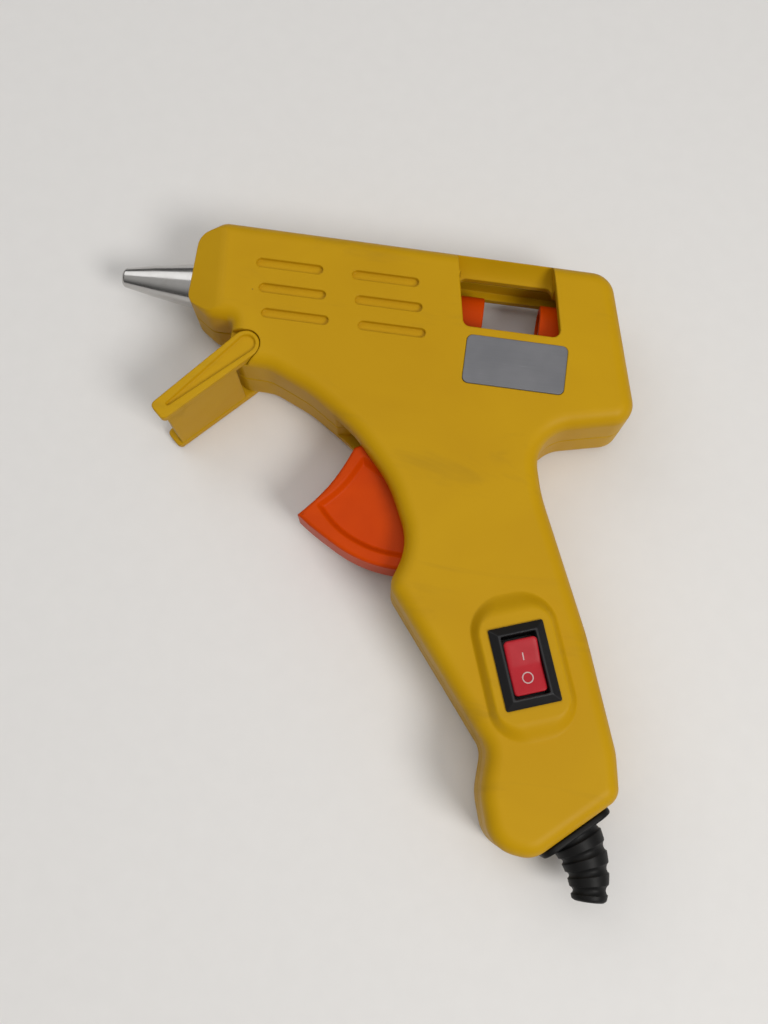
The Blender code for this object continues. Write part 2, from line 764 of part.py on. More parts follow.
def cavity(side):
    """The hollow inside one shell, less all that stands in it."""
    hollow = helper(
        f"hollow_{'left' if side > 0 else 'right'}",
        prism(outline(WALL), *spanning(-OVERRUN, HALF_THICKNESS - WALL, side)),
    )
    cut(hollow, snout_wedge(WALL, side))
    boss_top = spanning(-2 * OVERRUN, HALF_THICKNESS, side)
    bosses = []
    boss_radius = SCREW_BOSS_RADIUS if side > 0 else SCREW_HEAD_RADIUS + GAP + SCREW_SEAT_WALL
    for place in screw_places().values():
        bosses.append(cylinder_up(boss_radius, place, *boss_top, sides=SIDES_SMALL))
    pivot_span = spanning(TRIGGER_WIDTH / 2 + GAP, HALF_THICKNESS, side)
    bosses.append(cylinder_up(PIVOT_BOSS_RADIUS, TRIGGER_PIVOT, *pivot_span))
    cut(hollow, merged(bosses))
    lug_radius = STAND_PIVOT_RADIUS + RUNNING_GAP + LUG_BACKING
    cut(hollow, cylinder_up(lug_radius, STAND_PIVOT, *boss_top))
    front_rib = barrel_point(INSULATOR_SHARE, 0).x
    rib_low = BARREL_LOW + WALL
    ribs = []
    for start in (front_rib, front_rib + RIB_THICKNESS + INSULATOR_LENGTH + 2 * GAP):
        ribs.append(rib_at(start, RIB_THICKNESS, BARREL_LOW, BARREL_TOP, side))
    barrel_end = NOZZLE_REACH + WALL + GAP + NOZZLE_FLANGE_LENGTH + BARREL_LENGTH
    sleeve_rib = barrel_end + SPIGOT_LENGTH + 2 * GAP
    ribs.append(rib_at(sleeve_rib, RIB_THICKNESS, rib_low, BARREL_TOP, side))
    rear_rib = barrel_point(REAR_RIB_SHARE, 0).x
    ribs.append(rib_at(rear_rib, RIB_THICKNESS, rib_low, BARREL_TOP, side))
    ribs.append(scoop_backing(side))
    ribs.append(rails(side))
    cut(hollow, merged(ribs))
    return hollow


def round_holes(side):
    """Holes along the barrel's axis: nozzle, barrel, sleeve and stick inlet."""
    flange_start = NOZZLE_REACH + WALL
    barrel_start = flange_start + GAP + NOZZLE_FLANGE_LENGTH
    barrel_end = barrel_start + BARREL_LENGTH
    sleeve_radius = SPIGOT_RADIUS + GAP + SLEEVE_WALL + GAP
    sleeve_rib = barrel_end + SPIGOT_LENGTH
    rear_rib = barrel_point(REAR_RIB_SHARE, 0).x
    end = NOZZLE_REACH + HOUSING_LENGTH
    ring_seat = barrel_point(INSULATOR_SHARE, 0).x + RIB_THICKNESS + GAP / 2
    ring_room = BARREL_RADIUS + GAP + INSULATOR_WIDTH + GAP
    return (
        cylinder_along_x(NOZZLE_HOLE_RADIUS, NOZZLE_REACH - OVERRUN, flange_start + OVERRUN),
        cylinder_along_x(ring_room, ring_seat, ring_seat + INSULATOR_LENGTH + GAP),
        cylinder_along_x(BARREL_RADIUS + GAP, barrel_start, sleeve_rib),
        cylinder_along_x(sleeve_radius, sleeve_rib - OVERRUN, sleeve_rib + RIB_THICKNESS + OVERRUN),
        cylinder_along_x(INLET_RADIUS, rear_rib - OVERRUN, end + OVERRUN),
    )


def grooves(side):
    """Blind grooves in rows and columns on the barrel's side."""
    middle = barrel_point(*GROOVE_CENTRE_SHARE)
    shapes = []
    for column in range(GROOVE_COLUMNS):
        for row in range(GROOVE_ROWS):
            across = column - (GROOVE_COLUMNS - 1) / 2
            down = row - (GROOVE_ROWS - 1) / 2
            centre = middle + Vector((
                across * GROOVE_PITCH_ALONG + down * GROOVE_LEAN, -down * GROOVE_PITCH_DOWN,
            ))
            outline_points = rectangle(GROOVE_LENGTH, GROOVE_WIDTH, GROOVE_WIDTH * 0.499, centre)
            heights = spanning(HALF_THICKNESS - GROOVE_DEPTH, HALF_THICKNESS + OVERRUN, side)
            shapes.append(prism(outline_points, *heights))
    return merged(shapes)


def cord_cylinder(radius, start, end, sides=SIDES_MEDIUM):
    """A cylinder along the way the cord leaves, measured outwards from the butt's sloping face."""
    centre, out, _ = cord_frame()
    heading = math.atan2(out.y, out.x)
    shape = cylinder_along_x(radius, start, end, sides)
    return moved(shape, (centre.x, centre.y, 0), Matrix.Rotation(heading, 4, "Z"))


def cord_opening():
    """The hole through the butt for the boot's neck."""
    return cord_cylinder(BOOT_NECK_RADIUS + GAP, -WALL - OVERRUN, OVERRUN)


def switch_turn():
    """Turns a shape whose length lies along X to the switch's long direction, down the grip."""
    return Matrix.Rotation(math.radians(SWITCH_LEAN_DEG - 90), 4, "Z")


def switch_pad():
    """The raised pad that carries the switch, sloping out to a wider foot."""
    top = HALF_THICKNESS + SWITCH_PAD_HEIGHT
    foot = HALF_THICKNESS - WALL / 2
    round_share = 0.45
    foot_outline = rectangle(
        SWITCH_PAD_BASE_LENGTH, SWITCH_PAD_BASE_WIDTH, SWITCH_PAD_BASE_WIDTH * round_share,
        SWITCH_CENTRE, SWITCH_LEAN_DEG - 90,
    )
    top_outline = rectangle(
        SWITCH_PAD_LENGTH, SWITCH_PAD_WIDTH, SWITCH_PAD_WIDTH * round_share / 2,
        SWITCH_CENTRE, SWITCH_LEAN_DEG - 90,
    )
    rings = []
    for share, height in ((0.0, foot), (0.06, HALF_THICKNESS), (0.62, top - SWITCH_PAD_HEIGHT / 3), (1.0, top)):
        ring = []
        for low, high in zip(foot_outline, top_outline):
            place = low.lerp(high, share)
            ring.append(Vector((place.x, place.y, height)))
        rings.append(ring)
    return layered(rings)


def switch_hole():
    body = rectangle(
        SWITCH_LENGTH - 2 * SWITCH_BODY_INSET + 2 * GAP, SWITCH_WIDTH - 2 * SWITCH_BODY_INSET + 2 * GAP, 0.0,
        SWITCH_CENTRE, SWITCH_LEAN_DEG - 90,
    )
    return prism(body, 0, HALF_THICKNESS + SWITCH_PAD_HEIGHT + OVERRUN)


def label_outline(growth=0.0):
    centre = barrel_point(*LABEL_CENTRE_SHARE)
    return rectangle(LABEL_LENGTH + 2 * growth, LABEL_HEIGHT + 2 * growth, LABEL_ROUND, centre)


def clamp_places():
    """The cord clamp's middle and its two screws."""
    centre, out, along = cord_frame()
    middle = centre - out * CLAMP_SETBACK
    offset = along * CLAMP_SCREW_SPACING / 2
    return middle, (middle - offset, middle + offset), along


def shell(side, finish):
    name = "left_housing_shell" if side > 0 else "right_housing_shell"
    made = piece(name, housing_block(side), finish)
    if side > 0:
        join(made, switch_pad())
    cut(made, snout_wedge(0.0, side))
    if side > 0:
        depth = SCREW_LENGTH - HALF_THICKNESS + SCREW_SINK + SCREW_HEAD_HEIGHT + 2 * GAP
        holes = []
        for place in screw_places().values():
            holes.append(cylinder_up(SCREW_SHANK_RADIUS + GAP, place, -OVERRUN, depth, SIDES_SMALL))
        cut(made, merged(holes))
    else:
        cut(made, merged([screw_seat(place) for place in screw_places().values()]))
    hollow = cavity(side)
    modifier = made.modifiers.new("hollow", "BOOLEAN")
    modifier.operation = "DIFFERENCE"
    modifier.object = hollow
    cut(made, prism(window_outline(), *spanning(-OVERRUN, HALF_THICKNESS + OVERRUN, side)))
    cut(made, scoop(side), grooves(side), trigger_slot())
    cut(made, *round_holes(side))
    cut(made, cord_opening())
    cut(made, arm_recess(side))
    pin_reach = spanning(-OVERRUN, HALF_THICKNESS + OVERRUN, side)
    cut(made, cylinder_up(STAND_PIN_RADIUS + GAP, STAND_PIVOT, *pin_reach, sides=SIDES_SMALL))
    blind = spanning(0, HALF_THICKNESS - WALL / 2, side)
    cut(made, cylinder_up(TRIGGER_PIN_RADIUS + GAP, TRIGGER_PIVOT, *blind, sides=SIDES_SMALL))
    _, post = spring_ends()
    _, clamp_screws, _ = clamp_places()
    if side > 0:
        post_span = (SPRING_LEVEL - SPRING_COIL_RADIUS, HALF_THICKNESS - WALL / 2)
        join(made, cylinder_up(SPRING_POST_RADIUS, post, *post_span, sides=SIDES_SMALL))
        cut(made, switch_hole())
        recess = HALF_THICKNESS - LABEL_RECESS
        cut(made, prism(label_outline(GAP), recess, HALF_THICKNESS + OVERRUN))
    else:
        posts = []
        for place in clamp_screws:
            posts.append(cylinder_up(
                CLAMP_SCREW_RADIUS + WALL / 2, place, -HALF_THICKNESS + WALL / 2,
                -CLAMP_LEVEL - CLAMP_THICKNESS / 2 - GAP, SIDES_SMALL,
            ))
        join(made, merged(posts))
        holes = []
        for place in clamp_screws:
            holes.append(cylinder_up(
                CLAMP_SCREW_RADIUS + GAP, place, -HALF_THICKNESS + WALL, OVERRUN, SIDES_SMALL,
            ))
        cut(made, merged(holes))
    return made


def screw_seat(place):
    """The stepped hole that a housing screw goes through, its wide end outside."""
    step = SCREW_SINK + SCREW_HEAD_HEIGHT
    seat = SCREW_HEAD_RADIUS + GAP
    hole = SCREW_SHANK_RADIUS + GAP
    shape = turned([
        (HALF_THICKNESS + OVERRUN, 0.0), (HALF_THICKNESS + OVERRUN, hole), (step, hole), (step, seat),
        (-OVERRUN, seat), (-OVERRUN, 0.0),
    ], SIDES_SMALL)
    return moved(shape, (place.x, place.y, -HALF_THICKNESS), Matrix.Rotation(-math.pi / 2, 4, "Y"))


def screw_shape(head_radius, head_height, shank_radius, length):
    """A round-headed screw along X, its head's underside at zero, with a cross slot."""
    dome = head_height * SCREW_HEAD_DOME_SHARE
    return turned([
        (length, 0.0), (length - shank_radius, shank_radius), (0.0, shank_radius), (0.0, head_radius),
        (dome - head_height, head_radius), (-head_height, head_radius * 0.7), (-head_height, 0.0),
    ][::-1], SIDES_SMALL)


def screw(name, place, underside, head_radius, head_height, shank_radius, length, finish):
    """A screw driven towards the left side, its head's underside at the given height."""
    shape = screw_shape(head_radius, head_height, shank_radius, length)
    made = piece(name, moved(shape, (0, 0, 0), Matrix.Rotation(-math.pi / 2, 4, "Y")), finish)
    made.location = (place.x, place.y, underside)
    low = -head_height - OVERRUN
    high = -head_height + SCREW_SLOT_DEPTH
    for turn in (0, 90):
        slot = prism(rectangle(2 * head_radius * 0.7, SCREW_SLOT_WIDTH, 0.0, Vector((0, 0)), turn), low, high)
        moved(slot, (place.x, place.y, underside))
        cut(made, slot)
    return made


def housing_screws(finish):
    underside = -HALF_THICKNESS + SCREW_SINK + SCREW_HEAD_HEIGHT - GAP
    for name, place in screw_places().items():
        screw(
            f"housing_screw_{name}", place, underside, SCREW_HEAD_RADIUS, SCREW_HEAD_HEIGHT,
            SCREW_SHANK_RADIUS, SCREW_LENGTH, finish,
        )


def heating(look):
    """Nozzle, melt barrel, heater, foil, insulating ring, inlet sleeve and its clip."""
    base = NOZZLE_REACH + WALL + GAP
    flange_end = base + NOZZLE_FLANGE_LENGTH
    shank_end = flange_end + NOZZLE_SHANK_LENGTH
    piece("nozzle", turned([
        (0.0, NOZZLE_BORE_RADIUS), (0.0, NOZZLE_TIP_RADIUS), (NOZZLE_REACH * NOZZLE_MID_SHARE, NOZZLE_MID_RADIUS),
        (NOZZLE_REACH, NOZZLE_BASE_RADIUS),
        (flange_end - GAP, NOZZLE_BASE_RADIUS), (flange_end - GAP, NOZZLE_SHANK_RADIUS),
        (shank_end, NOZZLE_SHANK_RADIUS), (shank_end, NOZZLE_BORE_RADIUS * 2),
        (base, NOZZLE_BORE_RADIUS * 2), (NOZZLE_REACH / 2, NOZZLE_BORE_RADIUS),
    ], SIDES_FINE), look["metal"])
    thread = NOZZLE_SHANK_RADIUS + GAP
    barrel_end = flange_end + BARREL_LENGTH
    spigot_end = barrel_end + SPIGOT_LENGTH
    throat = flange_end + BARREL_FACE_LENGTH
    barrel = piece("melt_barrel", turned([
        (flange_end, thread), (flange_end, BARREL_RADIUS), (barrel_end, BARREL_RADIUS),
        (barrel_end, SPIGOT_RADIUS), (spigot_end, SPIGOT_RADIUS), (spigot_end, BARREL_BORE_RADIUS),
        (throat + BARREL_THROAT_LENGTH, BARREL_BORE_RADIUS), (throat, thread),
    ], SIDES_FINE), look["aluminium"])
    heater_end = barrel_end - HEATER_POCKET_WALL
    pocket_top = -BARREL_RADIUS - HEATER_POCKET_WALL
    heater_middle = Vector((heater_end - HEATER_LENGTH / 2, pocket_top - GAP - HEATER_HEIGHT / 2))
    foil_middle = heater_middle - Vector((0, HEATER_HEIGHT / 2 + GAP + HEATER_FOIL / 2))
    pocket_low = foil_middle.y - HEATER_FOIL / 2 - GAP
    block_low = pocket_low - HEATER_POCKET_WALL
    block_start = heater_end - HEATER_LENGTH - GAP
    block_top = -BARREL_BORE_RADIUS - HEATER_POCKET_WALL
    block = [
        Vector((block_start, block_low)), Vector((heater_end, block_low)),
        Vector((heater_end, block_top)), Vector((block_start, block_top)),
    ]
    half = HEATER_WIDTH / 2 + HEATER_POCKET_WALL
    join(barrel, prism(block, -half, half))
    slot_centre = Vector((heater_middle.x, (pocket_top + pocket_low) / 2))
    slot = rectangle(HEATER_LENGTH + 2 * OVERRUN, pocket_top - pocket_low, 0.0, slot_centre)
    cut(barrel, prism(slot, -HEATER_WIDTH / 2 - GAP, HEATER_WIDTH / 2 + GAP))
    heater = rectangle(HEATER_LENGTH, HEATER_HEIGHT, 0.0, heater_middle)
    piece("heater_element", prism(heater, -HEATER_WIDTH / 2, HEATER_WIDTH / 2), look["ceramic"])
    foil = rectangle(HEATER_LENGTH, HEATER_FOIL, 0.0, foil_middle)
    piece("heater_spring_plate", prism(foil, -HEATER_WIDTH / 2, HEATER_WIDTH / 2), look["steel"])
    ring_start = barrel_point(INSULATOR_SHARE, 0).x + RIB_THICKNESS + GAP
    ring_inner = BARREL_RADIUS + GAP
    piece("barrel_insulator_ring", turned([
        (ring_start, ring_inner), (ring_start, ring_inner + INSULATOR_WIDTH),
        (ring_start + INSULATOR_LENGTH, ring_inner + INSULATOR_WIDTH), (ring_start + INSULATOR_LENGTH, ring_inner),
    ], SIDES_FINE), look["insulator"])
    sleeve_start = barrel_end + GAP
    sleeve_inner = SPIGOT_RADIUS + GAP
    sleeve_end = sleeve_start + SLEEVE_LENGTH
    step = spigot_end + GAP
    piece("stick_sleeve", turned([
        (sleeve_start, sleeve_inner), (sleeve_start, sleeve_inner + SLEEVE_WALL),
        (sleeve_end, sleeve_inner + SLEEVE_WALL), (sleeve_end, sleeve_inner),
        (sleeve_end - SLEEVE_WALL, STICK_CLEAR_RADIUS), (step, STICK_CLEAR_RADIUS), (step, sleeve_inner),
    ], SIDES_MEDIUM), look["silicone"])
    clip = turned([
        (sleeve_start + SPIGOT_LENGTH / 2 + SLEEVE_CLIP_WIRE * math.cos(angle),
         sleeve_inner + SLEEVE_WALL + GAP + SLEEVE_CLIP_WIRE * (1 + math.sin(angle)))
        for angle in (math.tau * step / 6 for step in range(6))
    ], SIDES_MEDIUM)
    piece("sleeve_clip_ring", clip, look["steel"])
    return heater_middle


def carriage(look):
    """The sliding feed carriage with its two stick plates, the fork and the gripper's ears."""
    front, rear, fork = carriage_places()
    base_top = -CARRIAGE_BASE_DROP
    base_low = base_top - CARRIAGE_BASE_HEIGHT
    fork_half = TRIGGER_TIP_RADIUS + GAP
    start = fork - fork_half - FORK_WALL
    base = [
        Vector((start, base_low)), Vector((rear, base_low)), Vector((rear, base_top)), Vector((start, base_top)),
    ]
    origin = Vector((fork, base_low, 0))
    made = piece(
        "feed_carriage", prism(base, -CARRIAGE_BASE_WIDTH / 2, CARRIAGE_BASE_WIDTH / 2), look["trigger"], origin,
    )
    half = CARRIAGE_PLATE_WIDTH / 2
    arch = [Vector((-half, base_low + GAP)), Vector((half, base_low + GAP))]
    for step in range(SIDES_SMALL + 1):
        arch.append(polar(half, 180 * step / SIDES_SMALL))
    for low, high in ((front, front + CARRIAGE_PLATE_FRONT), (rear - CARRIAGE_PLATE_REAR, rear)):
        rings = [[Vector((along, p.y, p.x)) for p in arch] for along in (low, high)]
        join(made, layered(rings))
    lug = [
        Vector((start, base_low - FORK_DROP)), Vector((fork + fork_half + FORK_WALL, base_low - FORK_DROP)),
        Vector((fork + fork_half + FORK_WALL, base_top - GAP)), Vector((start, base_top - GAP)),
    ]
    join(made, prism(lug, -FORK_WIDTH / 2, FORK_WIDTH / 2))
    pivot = gripper_pivot()
    ear = [
        pivot + Vector((GRIPPER_HUB_RADIUS, 0)), pivot + Vector((0, GRIPPER_HUB_RADIUS)),
        pivot + Vector((-GRIPPER_HUB_RADIUS, 0)), Vector((pivot.x - GRIPPER_HUB_RADIUS, base_top - GAP)),
        Vector((pivot.x + GRIPPER_HUB_RADIUS, base_top - GAP)),
    ]
    inner = GRIPPER_WIDTH / 2 + GAP
    join(made, prism(ear, inner, inner + GRIPPER_EAR), prism(ear, -inner - GRIPPER_EAR, -inner))
    cut(made, cylinder_along_x(STICK_CLEAR_RADIUS, front - OVERRUN, rear + OVERRUN, SIDES_MEDIUM))
    opening = [
        Vector((fork - fork_half, base_low - FORK_DROP - OVERRUN)),
        Vector((fork + fork_half, base_low - FORK_DROP - OVERRUN)),
        Vector((fork + fork_half, base_low)), Vector((fork - fork_half, base_low)),
    ]
    cut(made, prism(opening, -FORK_WIDTH, FORK_WIDTH))
    ears = inner + GRIPPER_EAR
    cut(made, cylinder_up(GRIPPER_PIN_RADIUS + GAP, pivot, -ears - OVERRUN, ears + OVERRUN, SIDES_SMALL))
    return made


def gripper_pivot():
    front, _, _ = carriage_places()
    along = front + CARRIAGE_PLATE_FRONT + GRIPPER_HUB_RADIUS + 2 * RUNNING_GAP
    return Vector((along, -CARRIAGE_BASE_DROP + GRIPPER_HUB_RADIUS + GAP))


def gripper(look):
    """The toothed lever that tips up against the stick when the carriage is driven, and its pin."""
    pivot = gripper_pivot()
    lean = turned_by(Vector((0, GRIPPER_REACH)), math.radians(14))
    side_step = Vector((GRIPPER_HUB_RADIUS * 0.8, 0))
    points = [pivot + polar(GRIPPER_HUB_RADIUS, 180 + 180 * step / SIDES_SMALL) for step in range(SIDES_SMALL + 1)]
    points.append(pivot + lean + side_step * 1.2)
    for tooth in range(3):
        points.append(pivot + lean + side_step * (0.8 - 0.5 * tooth) - Vector((0, GRIPPER_HUB_RADIUS / 3)))
        points.append(pivot + lean + side_step * (0.55 - 0.5 * tooth))
    origin = Vector((pivot.x, pivot.y, 0))
    lever = piece("stick_gripper", prism(points, -GRIPPER_WIDTH / 2, GRIPPER_WIDTH / 2), look["metal"], origin)
    hole = GRIPPER_PIN_RADIUS + GAP
    cut(lever, cylinder_up(hole, pivot, -GRIPPER_WIDTH, GRIPPER_WIDTH, SIDES_SMALL))
    reach = GRIPPER_WIDTH / 2 + GAP + GRIPPER_EAR
    piece("gripper_pin", cylinder_up(GRIPPER_PIN_RADIUS, pivot, -reach, reach, SIDES_SMALL), look["steel"], origin)


def pad_outline():
    """The trigger's finger pad and its web up to the hub."""
    front_angle = 221.2
    lower_end = 281.0
    corner_flare = 0.045
    corner = TRIGGER_PIVOT + polar(TRIGGER_PAD_RADIUS * (1 + corner_flare), front_angle)
    top = TRIGGER_PIVOT + polar(TRIGGER_PAD_RADIUS * 0.458, 195.0)
    hub_touch = TRIGGER_PIVOT + polar(TRIGGER_HUB_RADIUS, 165.0)
    points = [hub_touch, top]
    bow = TRIGGER_RIM * 0.45
    chord = corner - top
    aside = Vector((-chord.y, chord.x)).normalized()
    for step in range(1, SIDES_SMALL // 2):
        share = step / (SIDES_SMALL / 2)
        points.append(top + chord * share + aside * bow * math.sin(math.pi * share))
    points.append(corner)
    for step in range(1, SIDES_SMALL + 1):
        share = step / SIDES_SMALL
        flare = corner_flare * max(0.0, 1 - share * 3.2) ** 1.6
        angle = front_angle + (lower_end - front_angle) * share
        points.append(TRIGGER_PIVOT + polar(TRIGGER_PAD_RADIUS * (1 + flare), angle))
    points.append(TRIGGER_PIVOT + polar(TRIGGER_HUB_RADIUS, 340.0))
    return points


def pad_pocket():
    """The sunk field on each side of the pad, inside its rims."""
    shift = Vector((TRIGGER_RIM, 0))
    corner = TRIGGER_PIVOT + polar(TRIGGER_PAD_RADIUS * 1.045, 221.2)
    top = TRIGGER_PIVOT + polar(TRIGGER_PAD_RADIUS * 0.458, 195.0)
    inward = (TRIGGER_PIVOT - corner).normalized()
    points = [top + shift * 0.8 + Vector((0, -TRIGGER_RIM / 2))]
    points.append(top.lerp(corner, 0.5) + shift * 1.25 + Vector((0, -TRIGGER_RIM / 3)))
    points.append(corner + inward * TRIGGER_RIM * 1.75)
    for step in range(9):
        angle = 233.0 + 44.0 * step / 8
        points.append(TRIGGER_PIVOT + polar(TRIGGER_PAD_RADIUS - TRIGGER_RIM, angle))
    points.append(TRIGGER_PIVOT + polar(TRIGGER_PAD_RADIUS * 0.42, 282.0))
    points.append(TRIGGER_PIVOT + polar(TRIGGER_PAD_RADIUS * 0.34, 225.0))
    return points


def trigger(look):
    """Finger pad, hub and drive arm in one piece, its pin, and the return spring."""
    origin = Vector((TRIGGER_PIVOT.x, TRIGGER_PIVOT.y, 0))
    half = TRIGGER_WIDTH / 2
    made = piece("trigger", prism(pad_outline(), -half, half), look["trigger"], origin)
    join(made, cylinder_up(TRIGGER_HUB_RADIUS, TRIGGER_PIVOT, -half, half))
    tip = TRIGGER_PIVOT + turned_by(Vector((0, TRIGGER_ARM_LENGTH)), -HALF_TRAVEL)
    arm = teardrop(TRIGGER_PIVOT, TRIGGER_HUB_RADIUS * 0.75, tip, TRIGGER_NECK_RADIUS)
    arm_half = TRIGGER_ARM_WIDTH / 2
    join(made, prism(arm, -arm_half, arm_half))
    tip_half = arm_half - GAP / 2
    join(made, cylinder_up(TRIGGER_TIP_RADIUS, tip, -tip_half, tip_half))
    peg, post = spring_ends()
    peg_top = SPRING_LEVEL + SPRING_COIL_RADIUS / 2
    join(made, cylinder_up(SPRING_POST_RADIUS, peg, 0, peg_top, SIDES_SMALL))
    pocket_floor = half - TRIGGER_POCKET_DEPTH
    cut(made, prism(pad_pocket(), pocket_floor, half + OVERRUN))
    cut(made, prism(pad_pocket(), -half - OVERRUN, -pocket_floor))
    cut(made, cylinder_up(TRIGGER_PIN_RADIUS + GAP, TRIGGER_PIVOT, -half - OVERRUN, half + OVERRUN))
    pin_half = HALF_THICKNESS - WALL / 2 - GAP
    piece(
        "trigger_pivot_pin", cylinder_up(TRIGGER_PIN_RADIUS, TRIGGER_PIVOT, -pin_half, pin_half), look["steel"],
        origin,
    )
    piece("trigger_return_spring", spring_shape(peg, post), look["steel"])


def tube(points, radius, sides):
    """A round tube along a list of 3-D points, with flat ends."""
    rings = []
    normal = Vector((0, 0, 1))
    for index, point in enumerate(points):
        ahead = points[min(index + 1, len(points) - 1)] - points[max(index - 1, 0)]
        ahead.normalize()
        normal = (normal - ahead * normal.dot(ahead)).normalized()
        across = ahead.cross(normal)
        rings.append([
            point + normal * radius * math.cos(math.tau * step / sides)
            + across * radius * math.sin(math.tau * step / sides)
            for step in range(sides)
        ])
    return layered(rings)


def spring_shape(peg, post):
    """A tension spring: a coil between two hooks, one round the trigger's peg, one round the housing's post."""
    level = SPRING_LEVEL
    hook = SPRING_POST_RADIUS + SPRING_WIRE_RADIUS + GAP
    coil_start = (peg.x + post.x - SPRING_COIL_LENGTH) / 2
    points = []
    for step in range(8):
        turn = polar(hook, 120 + 240 * step / 8)
        points.append(Vector((peg.x + turn.x, peg.y + turn.y, level)))
    steps = SPRING_TURNS * 8
    for step in range(steps + 1):
        angle = math.tau * step / 8
        points.append(Vector((
            coil_start + SPRING_COIL_LENGTH * step / steps,
            peg.y + SPRING_COIL_RADIUS * math.cos(angle + math.pi),
            level + SPRING_COIL_RADIUS * math.sin(angle + math.pi),
        )))
    for step in range(8):
        turn = polar(hook, 180 + 240 * (step + 1) / 8)
        points.append(Vector((post.x + turn.x, post.y + turn.y, level)))
    return tube(points, SPRING_WIRE_RADIUS, 6)


def stand_arm(heading):
    """The arm's outline: round at the pivot, narrower and blunt at the tail."""
    aside = Vector((-heading.y, heading.x))
    corners = []
    for step in range(SIDES_SMALL + 1):
        corners.append((STAND_PIVOT + polar(STAND_PIVOT_RADIUS, STAND_ANGLE_DEG + 90 + 180 * step / SIDES_SMALL), 0.0))
    end = STAND_PIVOT + heading * STAND_LENGTH
    corners.append((end - aside * STAND_TAIL_RADIUS, STAND_TAIL_RADIUS / 2))
    corners.append((end + aside * STAND_TAIL_RADIUS, STAND_TAIL_RADIUS / 2))
    return rounded(corners)


def stand(look):
    """The fold-out stand: two arms joined by a plate behind them, and the pin through the housing's lug."""
    heading = stand_heading()
    behind = Vector((-heading.y, heading.x))
    if behind.x < 0:
        behind = -behind
    tail = STAND_PIVOT + heading * (STAND_LENGTH - STAND_TAIL_RADIUS)
    arm = stand_arm(heading)
    face = HALF_THICKNESS - STAND_FACE_DROP
    origin = Vector((STAND_PIVOT.x, STAND_PIVOT.y, 0))
    made = piece("stand", prism(arm, face - STAND_ARM_THICKNESS, face), look["housing"], origin)
    web_end = STAND_LENGTH - STAND_TAIL_RADIUS / 2
    outer_start = STAND_PIVOT_RADIUS + (STAND_TAIL_RADIUS - STAND_PIVOT_RADIUS) * STAND_WEB_START / web_end
    web = [
        STAND_PIVOT + heading * STAND_WEB_START + behind * (outer_start - GAP / 2),
        STAND_PIVOT + heading * STAND_WEB_START + behind * (outer_start - STAND_WEB_THICKNESS),
        STAND_PIVOT + heading * web_end + behind * (STAND_TAIL_RADIUS - STAND_WEB_THICKNESS),
        STAND_PIVOT + heading * web_end + behind * (STAND_TAIL_RADIUS - GAP / 2),
    ]
    inset = face - GAP / 2
    join(made, prism(web, -inset, inset), prism(arm, -face, STAND_ARM_THICKNESS - face))
    small = STAND_TAIL_RADIUS * 0.30
    pocket = teardrop(STAND_PIVOT, STAND_PIVOT_RADIUS * 0.66, tail, small)
    floor = face - STAND_POCKET_DEPTH
    cut(made, prism(pocket, floor, face + OVERRUN), prism(pocket, -face - OVERRUN, -floor))
    socket = face - STAND_ARM_THICKNESS / 2
    cut(made, cylinder_up(STAND_PIN_RADIUS + GAP, STAND_PIVOT, -socket, socket, SIDES_SMALL))
    pin = socket - GAP
    piece("stand_pivot_pin", cylinder_up(STAND_PIN_RADIUS, STAND_PIVOT, -pin, pin, SIDES_SMALL), look["steel"])
    return made


def switch_levels():
    """Heights of the pad's top and of the rocker's hinge."""
    pad = HALF_THICKNESS + SWITCH_PAD_HEIGHT
    return pad, pad + SWITCH_FRAME_HEIGHT - ROCKER_SINK - ROCKER_CREST / 2


